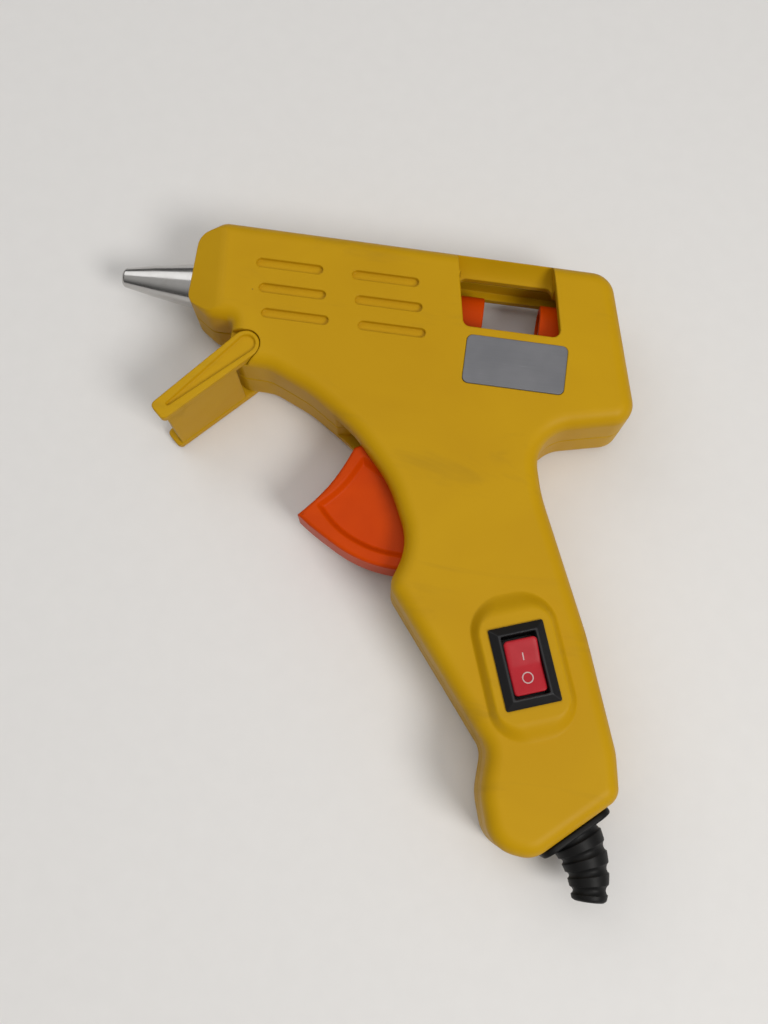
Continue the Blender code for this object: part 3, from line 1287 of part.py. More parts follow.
def switch(look):
    """Switch case with its bevelled frame, the rocker, its contact blade and two terminals."""
    pad, hinge = switch_levels()
    turn = switch_turn()
    place = (SWITCH_CENTRE.x, SWITCH_CENTRE.y, 0)
    bevel = SWITCH_FRAME_HEIGHT * 0.6
    rings = []
    for inset, height in ((0.0, pad + GAP), (0.0, pad + SWITCH_FRAME_HEIGHT - bevel), (bevel, pad + SWITCH_FRAME_HEIGHT)):
        ring = rectangle(SWITCH_LENGTH - 2 * inset, SWITCH_WIDTH - 2 * inset)
        rings.append([Vector((p.x, p.y, height)) for p in ring])
    case = piece("switch_case", moved(layered(rings), place, turn), look["black"])
    body_length = SWITCH_LENGTH - 2 * SWITCH_BODY_INSET
    body_width = SWITCH_WIDTH - 2 * SWITCH_BODY_INSET
    floor = pad + GAP - SWITCH_BODY_DEPTH
    join(case, moved(prism(rectangle(body_length, body_width), floor, pad + 2 * GAP), place, turn))
    opening = rectangle(SWITCH_LENGTH - 2 * SWITCH_FRAME_WALL, SWITCH_WIDTH - 2 * SWITCH_FRAME_WALL - GAP)
    well = hinge - ROCKER_CREST - RUNNING_GAP - ROCKER_LENGTH / 2 * math.sin(math.radians(ROCKER_TILT_DEG))
    cut(case, moved(prism(opening, well, pad + SWITCH_FRAME_HEIGHT + OVERRUN), place, turn))
    slots = []
    for side in (-1, 1):
        hole = rectangle(TERMINAL_THICKNESS + 2 * GAP, TERMINAL_WIDTH + 2 * GAP, 0.0, Vector((side * TERMINAL_SPACING / 2, 0)))
        slots.append(prism(hole, floor - OVERRUN, well + OVERRUN))
    cut(case, moved(merged(slots), place, turn))
    half = ROCKER_LENGTH / 2
    profile = [(-half, ROCKER_CREST / 2 + ROCKER_SINK), (0, ROCKER_CREST / 2 + ROCKER_SINK - ROCKER_DIP)]
    profile.append((half, ROCKER_CREST / 2 + ROCKER_SINK))
    profile += [(half - ROCKER_DIP, -ROCKER_CREST / 2), (0, -ROCKER_CREST), (ROCKER_DIP - half, -ROCKER_CREST / 2)]
    rings = []
    for side in (-1, 1):
        rings.append([Vector((u, side * ROCKER_WIDTH / 2, w)) for u, w in profile])
    rocker = layered(rings)
    tilt = Matrix.Rotation(math.radians(ROCKER_TILT_DEG), 4, "Y")
    origin = Vector((SWITCH_CENTRE.x, SWITCH_CENTRE.y, hinge))
    piece("switch_rocker", moved(rocker, origin, turn @ tilt), look["rocker"], origin)
    for name, side in (("in", -1), ("out", 1)):
        blade = rectangle(TERMINAL_THICKNESS, TERMINAL_WIDTH, 0.0, Vector((side * TERMINAL_SPACING / 2, 0)))
        top = well - GAP
        piece(
            f"switch_terminal_{name}", moved(prism(blade, floor - TERMINAL_LENGTH, top), place, turn),
            look["brass"],
        )
    return floor


def label(look):
    low = HALF_THICKNESS - LABEL_RECESS + GAP
    piece("side_plate", prism(label_outline(), low, low + LABEL_THICKNESS), look["label"])


def cord_boot(look):
    """The ribbed rubber boot round the cord's way out, its flange outside and its collar inside the butt."""
    centre, out, along = cord_frame()
    heading = math.atan2(out.y, out.x)
    place = (centre.x, centre.y, 0)
    turn = Matrix.Rotation(heading, 4, "Z")
    flange = rectangle(BOOT_FLANGE_LENGTH, BOOT_FLANGE_WIDTH, BOOT_FLANGE_WIDTH / 4)
    rings = []
    for height in (GAP, GAP + BOOT_FLANGE_THICKNESS):
        rings.append([Vector((height, p.x, p.y)) for p in flange])
    boot = piece("cord_boot", moved(layered(rings), place, turn), look["rubber"])
    inner = -WALL - GAP - BOOT_INNER_FLANGE
    neck = turned([
        (inner, 0.0), (inner, BOOT_INNER_FLANGE_RADIUS), (-WALL - GAP, BOOT_INNER_FLANGE_RADIUS),
        (-WALL - GAP, BOOT_NECK_RADIUS), (2 * GAP, BOOT_NECK_RADIUS), (2 * GAP, 0.0),
    ], SIDES_MEDIUM)
    join(boot, moved(neck, place, turn))
    bend = math.radians(BOOT_BEND_DEG)
    radius = BOOT_LENGTH / bend
    steps = BOOT_RIBS * 4
    rings = []
    bore_rings = []
    for step in range(-1, steps + 2):
        share = min(max(step / steps, 0.0), 1.0)
        turn_angle = heading - bend * share
        middle = Vector((
            centre.x + radius * (math.sin(heading) - math.sin(turn_angle)),
            centre.y + radius * (math.cos(turn_angle) - math.cos(heading)),
        ))
        forward = polar(1.0, math.degrees(turn_angle))
        sideways = Vector((-forward.y, forward.x))
        start = BOOT_FLANGE_THICKNESS / 2
        reach = BOOT_ROOT_RADIUS + (BOOT_END_RADIUS - BOOT_ROOT_RADIUS) * share
        if step % 4 in (1, 2) and 0 < step < steps:
            reach -= BOOT_GROOVE_DEPTH
        slide = 0.0
        if step < 0:
            slide = inner - OVERRUN
        elif step > steps:
            slide = OVERRUN
        if 0 <= step <= steps:
            rings.append(ring_round(middle + forward * start, sideways, reach, SIDES_MEDIUM))
        bore_rings.append(ring_round(middle + forward * (start + slide), sideways, BOOT_BORE_RADIUS, SIDES_SMALL))
    join(boot, layered(rings))
    cut(boot, layered(bore_rings))


def ring_round(middle, sideways, radius, sides):
    """Points of a circle square to a flat direction."""
    ring = []
    for step in range(sides):
        angle = math.tau * step / sides
        flat = middle + sideways * radius * math.cos(angle)
        ring.append(Vector((flat.x, flat.y, radius * math.sin(angle))))
    return ring


def cord_clamp(look):
    """The bar that would press the cord down on its posts, and its two screws."""
    middle, screws, along = clamp_places()
    lean = math.degrees(math.atan2(along.y, along.x))
    low = -CLAMP_LEVEL - CLAMP_THICKNESS / 2
    high = -CLAMP_LEVEL + CLAMP_THICKNESS / 2
    bar = piece(
        "cord_clamp_bar", prism(rectangle(CLAMP_LENGTH, CLAMP_WIDTH, CLAMP_WIDTH / 3, middle, lean), low, high),
        look["black"],
    )
    for name, place in zip(("upper", "lower"), screws):
        cut(bar, cylinder_up(CLAMP_SCREW_RADIUS + GAP, place, low - OVERRUN, high + OVERRUN, SIDES_SMALL))
        length = HALF_THICKNESS - WALL - CLAMP_LEVEL
        shape = screw_shape(CLAMP_SCREW_RADIUS * 2, CLAMP_THICKNESS / 2, CLAMP_SCREW_RADIUS, length)
        driven = moved(shape, (place.x, place.y, high + GAP), Matrix.Rotation(math.pi / 2, 4, "Y"))
        piece(f"cord_clamp_screw_{name}", driven, look["steel"])


def smooth_route(places, per_leg=4):
    """Points of one smooth curve through the given places."""
    points = []
    for index in range(len(places) - 1):
        before = places[max(index - 1, 0)]
        start = places[index]
        end = places[index + 1]
        after = places[min(index + 2, len(places) - 1)]
        for step in range(per_leg):
            t = step / per_leg
            points.append(0.5 * (
                2 * start + (end - before) * t + (2 * before - 5 * start + 4 * end - after) * t * t
                + (3 * start - before - 3 * end + after) * t ** 3
            ))
    points.append(places[-1])
    return points


def place_at(flat, level):
    return Vector((flat.x, flat.y, level))


def wiring(look, heater_middle, terminal_floor):
    """Leads inside the housing: mains crimps to switch and heater, switch to heater."""
    down = polar(1.0, SWITCH_LEAN_DEG - 90)
    level = terminal_floor - TERMINAL_LENGTH - LEAD_RADIUS - GAP
    terminal_in = SWITCH_CENTRE - down * TERMINAL_SPACING / 2
    terminal_out = SWITCH_CENTRE + down * TERMINAL_SPACING / 2
    heater_rear = heater_middle.x + HEATER_LENGTH / 2 + HEATER_POCKET_WALL + GAP
    live_crimp = grip_point(0.800, 0.800)
    neutral_crimp = grip_point(0.862, 0.790)
    low = -LEAD_LOWER_LEVEL
    high = -LEAD_UPPER_LEVEL
    crimp_top = CRIMP_LENGTH + LEAD_RADIUS
    for name, place in (("live", live_crimp), ("neutral", neutral_crimp)):
        shape = cylinder_along_x(CRIMP_RADIUS, 0.0, CRIMP_LENGTH, SIDES_SMALL)
        turn = Matrix.Rotation(math.pi / 2, 4, "Z")
        level_at = -CLAMP_LEVEL if name == "live" else -CLAMP_LEVEL
        piece(f"{name}_crimp", moved(shape, place_at(place, level_at), turn), look["insulator"])
    live = [
        place_at(live_crimp + Vector((0, crimp_top)), -CLAMP_LEVEL),
        place_at(live_crimp + Vector((0, crimp_top + CRIMP_LENGTH / 2)), -CLAMP_LEVEL),
        place_at(terminal_out - down * 3 * LEAD_RADIUS, level),
        place_at(terminal_out - down * 5 * LEAD_RADIUS, level),
    ]
    piece("live_lead", tube(smooth_route(live), LEAD_RADIUS, 8), look["lead"])
    shared = [grip_point(0.758, 0.300), grip_point(0.743, 0.130), grip_point(0.700, -0.020)]
    turn_in = body_point(0.560, 0.640)
    under = body_point(0.420, 0.560)
    near_heater = body_point(0.352, 0.330)
    end_height = heater_middle.y
    switched = [place_at(terminal_in - down * 2 * LEAD_RADIUS, level), place_at(terminal_in - down * 5 * LEAD_RADIUS, level)]
    switched += [place_at(place, low) for place in shared + [turn_in, under]]
    switched.append(place_at(near_heater, -HEATER_WIDTH / 3))
    switched.append(Vector((heater_rear, end_height, -HEATER_WIDTH / 4)))
    piece("switched_lead", tube(smooth_route(switched), LEAD_RADIUS, 8), look["lead_dark"])
    neutral = [
        place_at(neutral_crimp + Vector((0, crimp_top)), -CLAMP_LEVEL),
        place_at(neutral_crimp + Vector((0, crimp_top + CRIMP_LENGTH)), high),
        place_at(grip_point(0.860, 0.560), low),
    ]
    neutral += [place_at(place, high) for place in shared]
    neutral += [place_at(turn_in + Vector((0, 4 * LEAD_RADIUS)), high), place_at(under + Vector((0, 4 * LEAD_RADIUS)), high)]
    neutral.append(place_at(near_heater + Vector((4 * LEAD_RADIUS, 0)), 0))
    neutral.append(Vector((heater_rear, end_height, HEATER_WIDTH / 4)))
    piece("neutral_lead", tube(smooth_route(neutral), LEAD_RADIUS, 8), look["lead"])


def stand_on_floor():
    """Moves the gun so that its box is centred on the origin and rests on Z = 0."""
    bpy.context.view_layer.update()
    graph = bpy.context.evaluated_depsgraph_get()
    low = Vector((math.inf,) * 3)
    high = Vector((-math.inf,) * 3)
    for item in bpy.context.scene.objects:
        if item.type != "MESH" or item.hide_render:
            continue
        evaluated = item.evaluated_get(graph)
        for corner in evaluated.bound_box:
            place = evaluated.matrix_world @ Vector(corner)
            low = Vector(map(min, low, place))
            high = Vector(map(max, high, place))
    FRAME.location = (-(low.x + high.x) / 2, -(low.y + high.y) / 2, -low.z)
    bpy.context.view_layer.update()


def main():
    global FRAME
    clear_scene()
    FRAME = bpy.data.objects.new("gun_frame", None)
    bpy.context.scene.collection.objects.link(FRAME)
    look = finishes()
    shell(1, look["housing"])
    shell(-1, look["housing"])
    housing_screws(look["steel"])
    heater_middle = heating(look)
    carriage(look)
    gripper(look)
    trigger(look)
    stand(look)
    terminal_floor = switch(look)
    label(look)
    cord_boot(look)
    cord_clamp(look)
    wiring(look, heater_middle, terminal_floor)
    stand_on_floor()


main()
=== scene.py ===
"""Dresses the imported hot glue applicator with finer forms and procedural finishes, round the fixed frame.

Shapes are worked out in the gun frame of the part, metres: X from the nozzle's tip to the rear, Y up
from the barrel's axis, Z from the seam between the shells towards the switch's side. They are then moved to
where the CAD nozzle stands.
"""
import json
import math

import bmesh
import bpy
from mathutils import Matrix, Vector


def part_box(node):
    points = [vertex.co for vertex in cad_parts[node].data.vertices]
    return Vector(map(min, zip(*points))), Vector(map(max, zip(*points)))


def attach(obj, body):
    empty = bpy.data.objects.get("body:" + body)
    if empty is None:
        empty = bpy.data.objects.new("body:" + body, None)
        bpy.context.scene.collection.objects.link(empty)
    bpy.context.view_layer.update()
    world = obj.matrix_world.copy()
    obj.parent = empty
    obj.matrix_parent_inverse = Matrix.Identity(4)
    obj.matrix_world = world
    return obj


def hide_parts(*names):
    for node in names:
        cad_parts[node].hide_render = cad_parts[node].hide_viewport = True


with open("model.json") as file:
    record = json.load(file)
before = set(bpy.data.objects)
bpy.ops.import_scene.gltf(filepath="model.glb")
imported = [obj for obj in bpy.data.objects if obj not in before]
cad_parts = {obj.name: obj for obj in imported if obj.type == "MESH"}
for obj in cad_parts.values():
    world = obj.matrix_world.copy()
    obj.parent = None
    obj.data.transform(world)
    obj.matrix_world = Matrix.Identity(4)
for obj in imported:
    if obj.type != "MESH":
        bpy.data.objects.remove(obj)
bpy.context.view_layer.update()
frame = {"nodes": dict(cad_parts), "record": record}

# Clearances
GAP = 0.0003
RUNNING_GAP = 0.0005
OVERRUN = 0.0010

# Housing
HOUSING_THICKNESS = 0.0200
WALL = 0.0020
EDGE_ROUND = 0.0032
NOZZLE_REACH = 0.0158
HOUSING_LENGTH = 0.0946
BARREL_HEIGHT = 0.0207
AXIS_DROP = 0.0009
BODY_DROP = 0.0146
GRIP_HEIGHT = 0.0793
SNOUT_TAPER_LENGTH = 0.0066
SNOUT_TAPER_DEPTH = 0.0032
NOZZLE_HOLE_RADIUS = 0.0051
INLET_RADIUS = 0.0042
RIB_THICKNESS = 0.0015
SEAM_BEVEL = 0.00025
SEAM_LIP_SHARE = 0.3

# Feed window, scoop, grooves, side plate
WINDOW_LENGTH = 0.0193
WINDOW_HEIGHT = 0.0123
WINDOW_LEAN = 0.0024
WINDOW_ROUND = 0.0015
SCOOP_DEPTH = 0.0052
SCOOP_WALL = 0.0012
SCOOP_STEPS = 14
SCOOP_CURVE = 1.6
GROOVE_LENGTH = 0.0134
GROOVE_WIDTH = 0.0019
GROOVE_DEPTH = 0.0009
GROOVE_LIP = 0.00015
GROOVE_BEND_SHARE = 0.35
GROOVE_PITCH_ALONG = 0.0193
GROOVE_PITCH_DOWN = 0.00525
GROOVE_LEAN = 0.00135
GROOVE_COLUMNS = 2
GROOVE_ROWS = 3
LABEL_LENGTH = 0.0198
LABEL_HEIGHT = 0.0100
LABEL_THICKNESS = 0.0004
LABEL_ROUND = 0.0012
LABEL_RECESS = 0.0005

# Screws
SCREW_BOSS_RADIUS = 0.0025
SCREW_SHANK_RADIUS = 0.0010
SCREW_HEAD_RADIUS = 0.0022
SCREW_HEAD_HEIGHT = 0.0014
SCREW_LENGTH = 0.0085
SCREW_SINK = 0.0030
SCREW_SEAT_WALL = 0.0009
SCREW_SLOT_WIDTH = 0.0006
SCREW_SLOT_DEPTH = 0.00084
SCREW_SLOT_SHARE = 0.62
SCREW_TURN_DEG = 33.0
DOME_FLAT = 0.42

# Nozzle and barrel
NOZZLE_TIP_RADIUS = 0.0020
NOZZLE_MID_RADIUS = 0.0032
NOZZLE_BASE_RADIUS = 0.0046
NOZZLE_SHANK_RADIUS = 0.0025
NOZZLE_SHANK_LENGTH = 0.0070
NOZZLE_BORE_RADIUS = 0.0008
NOZZLE_FLANGE_LENGTH = 0.0016
NOZZLE_MID_SHARE = 0.42
BARREL_RADIUS = 0.0060
BARREL_LENGTH = 0.0255
SPIGOT_RADIUS = 0.0047
SPIGOT_LENGTH = 0.0060
SLEEVE_WALL = 0.0012
INSULATOR_LENGTH = 0.0014

# Feed carriage and trigger
CARRIAGE_PLATE_FRONT = 0.0052
CARRIAGE_PLATE_REAR = 0.0044
CARRIAGE_PLATE_SPACING = 0.0114
CARRIAGE_PLATE_WIDTH = 0.0104
CARRIAGE_BASE_WIDTH = 0.0144
CARRIAGE_BASE_HEIGHT = 0.0022
CARRIAGE_BASE_DROP = 0.0106
STICK_CLEAR_RADIUS = 0.0039
TRIGGER_ARM_LENGTH = 0.0131
TRIGGER_TIP_RADIUS = 0.0019
TRIGGER_NECK_RADIUS = 0.0010
TRIGGER_ARM_SHARE = 0.75
TRIGGER_TRAVEL_DEG = 25.0
TRIGGER_HUB_RADIUS = 0.0042
TRIGGER_PAD_RADIUS = 0.0262
TRIGGER_WIDTH = 0.0090
TRIGGER_ARM_WIDTH = 0.0070
TRIGGER_PIN_RADIUS = 0.0015
TRIGGER_RIM = 0.0022
TRIGGER_POCKET_DEPTH = 0.0014
TRIGGER_EDGE_SHARE = 0.36
TRIGGER_WEB_DEG = (165.0, 340.0)
PAD_CORNER = (1.045, 221.2)
PAD_TOP = (0.458, 195.0)
PAD_HEEL_DEG = 281.0
PAD_BOW = 0.45
PAD_FADE = 3.2
PAD_FADE_BEND = 1.6
POCKET_ROUND = 0.0010
POCKET_SWEEP_ROUND = 0.020
POCKET_START_DEG = 234.0
POCKET_STEP_DEG = 10.75
POCKET_SWEEP_POINTS = 5
POCKET_SWELL = 0.004
POCKET_SLOPE = 0.7
POCKET_CORNER_RIMS = 1.75
POCKET_BACK_ROUND = 0.0012
# Share down the pad's front edge, then right and down in rims, and the corner's radius
POCKET_FRONT = ((0.0, 0.8, 0.5, 0.0008), (0.5, 1.25, 0.33, POCKET_SWEEP_ROUND))
POCKET_BACK = ((0.42, 282.0), (0.34, 225.0))
SLOT_HUB_DEG = (100, 140, 340)
SLOT_START_DEG = 178
SLOT_SWEEP_DEG = 112
FORK_WALL = 0.0018
FORK_WIDTH = 0.0080
FORK_DROP = 0.0047
GRIPPER_WIDTH = 0.0044
GRIPPER_HUB_RADIUS = 0.0016
GRIPPER_PIN_RADIUS = 0.0006
GRIPPER_EAR = 0.0014
PIVOT_BOSS_RADIUS = 0.0033
SPRING_COIL_RADIUS = 0.0015
SPRING_POST_RADIUS = 0.0012
SPRING_SPAN = 0.0165
SPRING_DROP_FROM_ARM = 0.0075
SPRING_LEVEL = 0.0059

# Stand
STAND_LENGTH = 0.0220
STAND_PIVOT_RADIUS = 0.0028
STAND_TAIL_RADIUS = 0.0021
STAND_ARM_THICKNESS = 0.0020
STAND_WEB_THICKNESS = 0.0017
STAND_WEB_START = 0.0046
STAND_ANGLE_DEG = 228.0
STAND_POCKET_DEPTH = 0.0007
# The pocket's point, its blunt end and its slope as shares of the tail's radius, its width of the pivot's
STAND_POCKET_POINT = 1.1
STAND_POCKET_BLUNT = 0.24
STAND_POCKET_SLOPE = 0.22
STAND_POCKET_WIDE = 0.76
STAND_LUG_RADIUS = 0.0036
LUG_BACKING = 0.0008
STAND_PIN_RADIUS = 0.0010
STAND_FACE_DROP = 0.0002

# Rocker switch
SWITCH_LENGTH = 0.0150
SWITCH_WIDTH = 0.0103
SWITCH_LEAN_DEG = 20.0
SWITCH_FRAME_HEIGHT = 0.0014
SWITCH_FRAME_WALL = 0.0018
SWITCH_FRAME_BEVEL = 0.7
SWITCH_FRAME_SLOPE = 0.80
# The bevel's profile: in, as a share of the slope, and below the top, as a share of the bevel
SWITCH_FRAME_PROFILE = ((0.0, 1.12), (0.0408, 1.0), (0.94, 0.08), (1.0, 0.01), (1.06, 0.0))
SWITCH_BODY_DEPTH = 0.0095
SWITCH_BODY_INSET = 0.0009
SWITCH_PAD_HEIGHT = 0.0019
SWITCH_PAD_LENGTH = 0.0192
SWITCH_PAD_WIDTH = 0.0130
SWITCH_PAD_BASE_LENGTH = 0.0288
SWITCH_PAD_BASE_WIDTH = 0.0170
PAD_FOOT_BEND = 0.45
PAD_TOP_BEND = 0.225
PAD_SETBACK = 0.04
TERMINAL_SLOT_PLACE = 0.0031
TERMINAL_SLOT_LENGTH = 0.0012
TERMINAL_SLOT_WIDTH = 0.0034
ROCKER_LENGTH = 0.0100
ROCKER_WIDTH = 0.0062
ROCKER_CREST = 0.0028
ROCKER_DIP = 0.0009
ROCKER_DIP_SHARE = 1.06
ROCKER_CREASE = 0.063
ROCKER_CORNER = 0.0008
ROCKER_EDGE = 0.00036
ROCKER_TILT_DEG = 8.0
ROCKER_SINK = 0.0006
MARK_STROKE = 0.00022
MARK_PROUD = 0.00004
BAR_LENGTH = 0.0014
BAR_PLACE = 0.0018
RING_RADIUS = 0.00105
RING_PLACE = 0.0021

# Cord boot and clamp
BOOT_ROOT_RADIUS = 0.0052
BOOT_END_RADIUS = 0.0032
BOOT_BORE_RADIUS = 0.0017
BOOT_LENGTH = 0.0130
BOOT_BEND_DEG = 40.0
BOOT_GROOVE_DEPTH = 0.00048
BOOT_GROOVE_PHASE = 0.375
BOOT_GROOVE_BEND = 0.7
BOOT_END_SHARE = 0.96
BOOT_RIBS = 4
BOOT_TRIM = 0.00003
BOOT_FLANGE_LENGTH = 0.0150
BOOT_FLANGE_WIDTH = 0.0110
BOOT_FLANGE_THICKNESS = 0.0013
BOOT_NECK_RADIUS = 0.0040
BOOT_INNER_FLANGE_RADIUS = 0.0052
BOOT_INNER_FLANGE = 0.0014
CLAMP_THICKNESS = 0.0016
CLAMP_SCREW_SPACING = 0.0076
CLAMP_SCREW_RADIUS = 0.0008
CLAMP_SETBACK = 0.0076
CLAMP_LEVEL = 0.0026

# Fineness: degrees between the points of an arc, or the steps of a curve
ARC_STEP_DEG = 5.0
STAND_STEP_DEG = 12.0
COARSE_STEP_DEG = 15.0
SLOT_STEP_DEG = 30.0
EDGE_STEPS = 10
SMALL_STEPS = 4
SOFT_STEPS = 3
SNOUT_STEPS = 6
INLET_STEPS = 6
PAD_STEPS = 14
PAD_FRONT_STEPS = 24
PAD_LOW_STEPS = 36
SUNKEN_STEPS = 8
DOME_STEPS = 8
EAR_STEPS = 12
ROCKER_STEPS = 16
RING_SIDES = 48
BOOT_RIB_STEPS = 16
BOOT_BORE_STEPS = 24
SIDES_FINE = 96
SIDES_MEDIUM = 64
SIDES_SMALL = 40
STRAIGHT_SHARE = 0.999
FULL_ROUND = 0.998
SHARP_DEG = 32.0
SHELL_SHARP_DEG = 34.0
BOOT_SHARP_DEG = 40.0
# Ramp of the edge mask that lightens edges: partly rubbed wear, partly painted highlight
RUBBED_AND_HIGHLIT_BAND = (0.02, 0.25)
WELD = GAP / 300
X_TO_Z = Matrix.Rotation(-math.pi / 2, 4, "Y")
Z_TO_X = Matrix.Rotation(math.pi / 2, 4, "Y")

# Camera, lamps and dome
CAMERA_PLACE = Vector((0.0677, -0.0905, 0.2057))
CAMERA_AIM = Vector((0.0612, -0.0447, 0.0100))
CAMERA_TILT_DEG = 8.0
CAMERA_LENS = 37.5
CAMERA_SENSOR = 36.0
CAMERA_CLIP = 0.005
FLOOR_REACH = 1.2
DOME_BAND = (0.15, 0.85)
DOME_STRENGTH = (0.09, 0.50)
BACKGROUND = 0.78
LAMPS = (
    ("key", (0.44, -0.30, 0.60), 0.30, 3.0, (1.0, 0.98, 0.95)),
    ("fill", (-0.45, 0.40, 0.55), 0.60, 0.9, (1.0, 1.0, 1.0)),
    ("top", (0.02, 0.05, 0.80), 0.50, 0.9, (1.0, 1.0, 1.0)),
)

HALF_THICKNESS = HOUSING_THICKNESS / 2
BARREL_TOP = AXIS_DROP + BARREL_HEIGHT / 2
BARREL_LOW = AXIS_DROP - BARREL_HEIGHT / 2
PARTING = GAP / 2
FLANGE_START = NOZZLE_REACH + WALL + GAP
BARREL_START = FLANGE_START + NOZZLE_FLANGE_LENGTH

# Corners of the housing's outline: share along, share down the band, corner radius as a share of the barrel
BARREL_TOP_SHARES = ((0.000, 0.333, 0.164), (0.053, 0.500, 0.174), (0.886, 0.473, 0.242))
BODY_REAR_SHARES = ((0.968, 0.702, 0.217), (0.758, 1.030, 0.362))
GRIP_SHARES = (
    (0.790, 0.158, 1.450), (0.908, 0.481, 1.930), (0.986, 0.740, 0.680), (1.000, 0.839, 0.174),
    (0.849, 1.000, 0.261), (0.766, 0.988, 0.328), (0.735, 0.871, 0.580), (0.739, 0.772, 0.242),
    (0.508, 0.428, 0.174), (0.538, 0.322, 0.580), (0.481, 0.177, 1.200), (0.393, 0.061, 1.200),
)
BODY_FRONT_SHARES = ((0.288, 0.880, 1.200), (0.198, 0.627, 0.386))
SNOUT_SHARES = ((0.053, -0.500, 0.174), (0.000, -0.333, 0.164))
LUG_CORNER_SHARE = 0.072
STAND_PIVOT_SHARE = (0.145, 0.366)
TRIGGER_PIVOT_SHARE = (0.520, 0.051)
SWITCH_SHARE = (0.788, 0.577)
WINDOW_CENTRE_SHARE = (0.6775, 0.007)
LABEL_CENTRE_SHARE = (0.704, -0.618)
GROOVE_CENTRE_SHARE = (0.325, -0.169)
SCREW_SHARES = {"front": (0.235, 0.387), "heel": (0.873, 0.343)}
GRIP_SCREW_SHARES = {"waist": (0.686, 0.142), "palm": (0.613, 0.442), "butt": (0.785, 0.920)}
INSULATOR_SHARE = 0.075
REAR_RIB_SHARE = 0.845


def middle_of(node):
    low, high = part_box(node)
    return (low + high) / 2


SHIFT = Vector((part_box("nozzle")[0].x, middle_of("nozzle").y, middle_of("nozzle").z))


def barrel_point(along_share, up_share):
    return Vector((NOZZLE_REACH + along_share * HOUSING_LENGTH, AXIS_DROP + up_share * BARREL_HEIGHT))


def body_point(along_share, down_share):
    return Vector((NOZZLE_REACH + along_share * HOUSING_LENGTH, BARREL_LOW - down_share * BODY_DROP))


def grip_point(along_share, down_share):
    top = BARREL_LOW - BODY_DROP
    return Vector((NOZZLE_REACH + along_share * HOUSING_LENGTH, top - down_share * GRIP_HEIGHT))


STAND_PIVOT = body_point(*STAND_PIVOT_SHARE)
TRIGGER_PIVOT = grip_point(*TRIGGER_PIVOT_SHARE)
SWITCH_CENTRE = grip_point(*SWITCH_SHARE)
WINDOW_CENTRE = barrel_point(*WINDOW_CENTRE_SHARE)
REAR_RIB = barrel_point(REAR_RIB_SHARE, 0).x
SCREW_PLACES = {name: body_point(*share) for name, share in SCREW_SHARES.items()}
SCREW_PLACES.update({name: grip_point(*share) for name, share in GRIP_SCREW_SHARES.items()})
# Where the cord leaves the butt: the middle of its sloping face, the way along it, and the way out
BUTT_UPPER, BUTT_LOWER = [grip_point(*share[:2]) for share in GRIP_SHARES[3:5]]
CORD_CENTRE = (BUTT_UPPER + BUTT_LOWER) / 2
CORD_ALONG = (BUTT_LOWER - BUTT_UPPER).normalized()
CORD_OUT = Vector((-CORD_ALONG.y, CORD_ALONG.x))
CORD_HEADING = math.atan2(CORD_OUT.y, CORD_OUT.x)
STAND_TURN = math.radians(STAND_ANGLE_DEG)
STAND_HEADING = Vector((math.cos(STAND_TURN), math.sin(STAND_TURN)))
HALF_TRAVEL = math.radians(TRIGGER_TRAVEL_DEG) / 2
SPRING_PEG = TRIGGER_PIVOT + Vector((math.sin(HALF_TRAVEL), math.cos(HALF_TRAVEL))) * SPRING_DROP_FROM_ARM


# Flat outlines
def turned_by(vector, angle):
    """A flat vector turned anticlockwise by an angle in radians."""
    cosine = math.cos(angle)
    sine = math.sin(angle)
    return Vector((vector.x * cosine - vector.y * sine, vector.x * sine + vector.y * cosine))


def polar(radius, angle_deg):
    return turned_by(Vector((radius, 0)), math.radians(angle_deg))


def with_neighbours(places):
    """Each point of a closed outline with the ways to the point before it and to the one after it."""
    befores = places[-1:] + places[:-1]
    afters = places[1:] + places[:1]
    return [(place, before - place, after - place) for place, before, after in zip(places, befores, afters)]


def fitting_radii(corners):
    """The corners' radii, less where two arcs would meet on the straight between them."""
    reaches = []
    for (_, radius), (_, before, after) in zip(corners, with_neighbours([place for place, _ in corners])):
        reaches.append(radius / math.tan(before.angle(after) / 2))
    radii = []
    for index, (corner, radius) in enumerate(corners):
        share = 1.0
        for other in (index - 1, (index + 1) % len(corners)):
            straight = (corners[other][0] - corner).length
            taken = reaches[index] + reaches[other]
            if taken > straight * STRAIGHT_SHARE:
                share = min(share, straight * STRAIGHT_SHARE / taken)
        radii.append(radius * share)
    return radii


def rounded(corners, step_deg=ARC_STEP_DEG):
    """Points of a closed outline whose corners, given as (point, radius), are rounded by arcs."""
    points = []
    ways = with_neighbours([place for place, _ in corners])
    for (corner, before, after), radius in zip(ways, fitting_radii(corners)):
        before.normalize()
        after.normalize()
        inside = before.angle(after)
        turn = math.pi - inside
        if radius <= 0 or turn < math.radians(1):
            points.append(corner.copy())
            continue
        centre = corner + (before + after).normalized() * radius / math.sin(inside / 2)
        first = corner + before * radius / math.tan(inside / 2)
        side = 1 if before.x * after.y - before.y * after.x < 0 else -1
        steps = max(3, math.ceil(round(math.degrees(turn) / step_deg, 3)))
        for step in range(steps + 1):
            points.append(centre + turned_by(first - centre, side * turn * step / steps))
    return points


def inset_corners(corners, inset):
    """The corners of an anticlockwise outline moved inwards, with the radii that keep its arcs true."""
    moved_in = []
    ways = with_neighbours([place for place, _ in corners])
    for (_, radius), (corner, back, after) in zip(corners, ways):
        before = -back
        turn = before.angle(after)
        convex = before.x * after.y - before.y * after.x > 0
        bend = math.tan(turn / 2) if convex else -math.tan(turn / 2)
        along = before.normalized()
        place = corner + Vector((-along.y, along.x)) * inset - along * inset * bend
        moved_in.append((place, max(radius - inset if convex else radius + inset, PARTING)))
    return moved_in


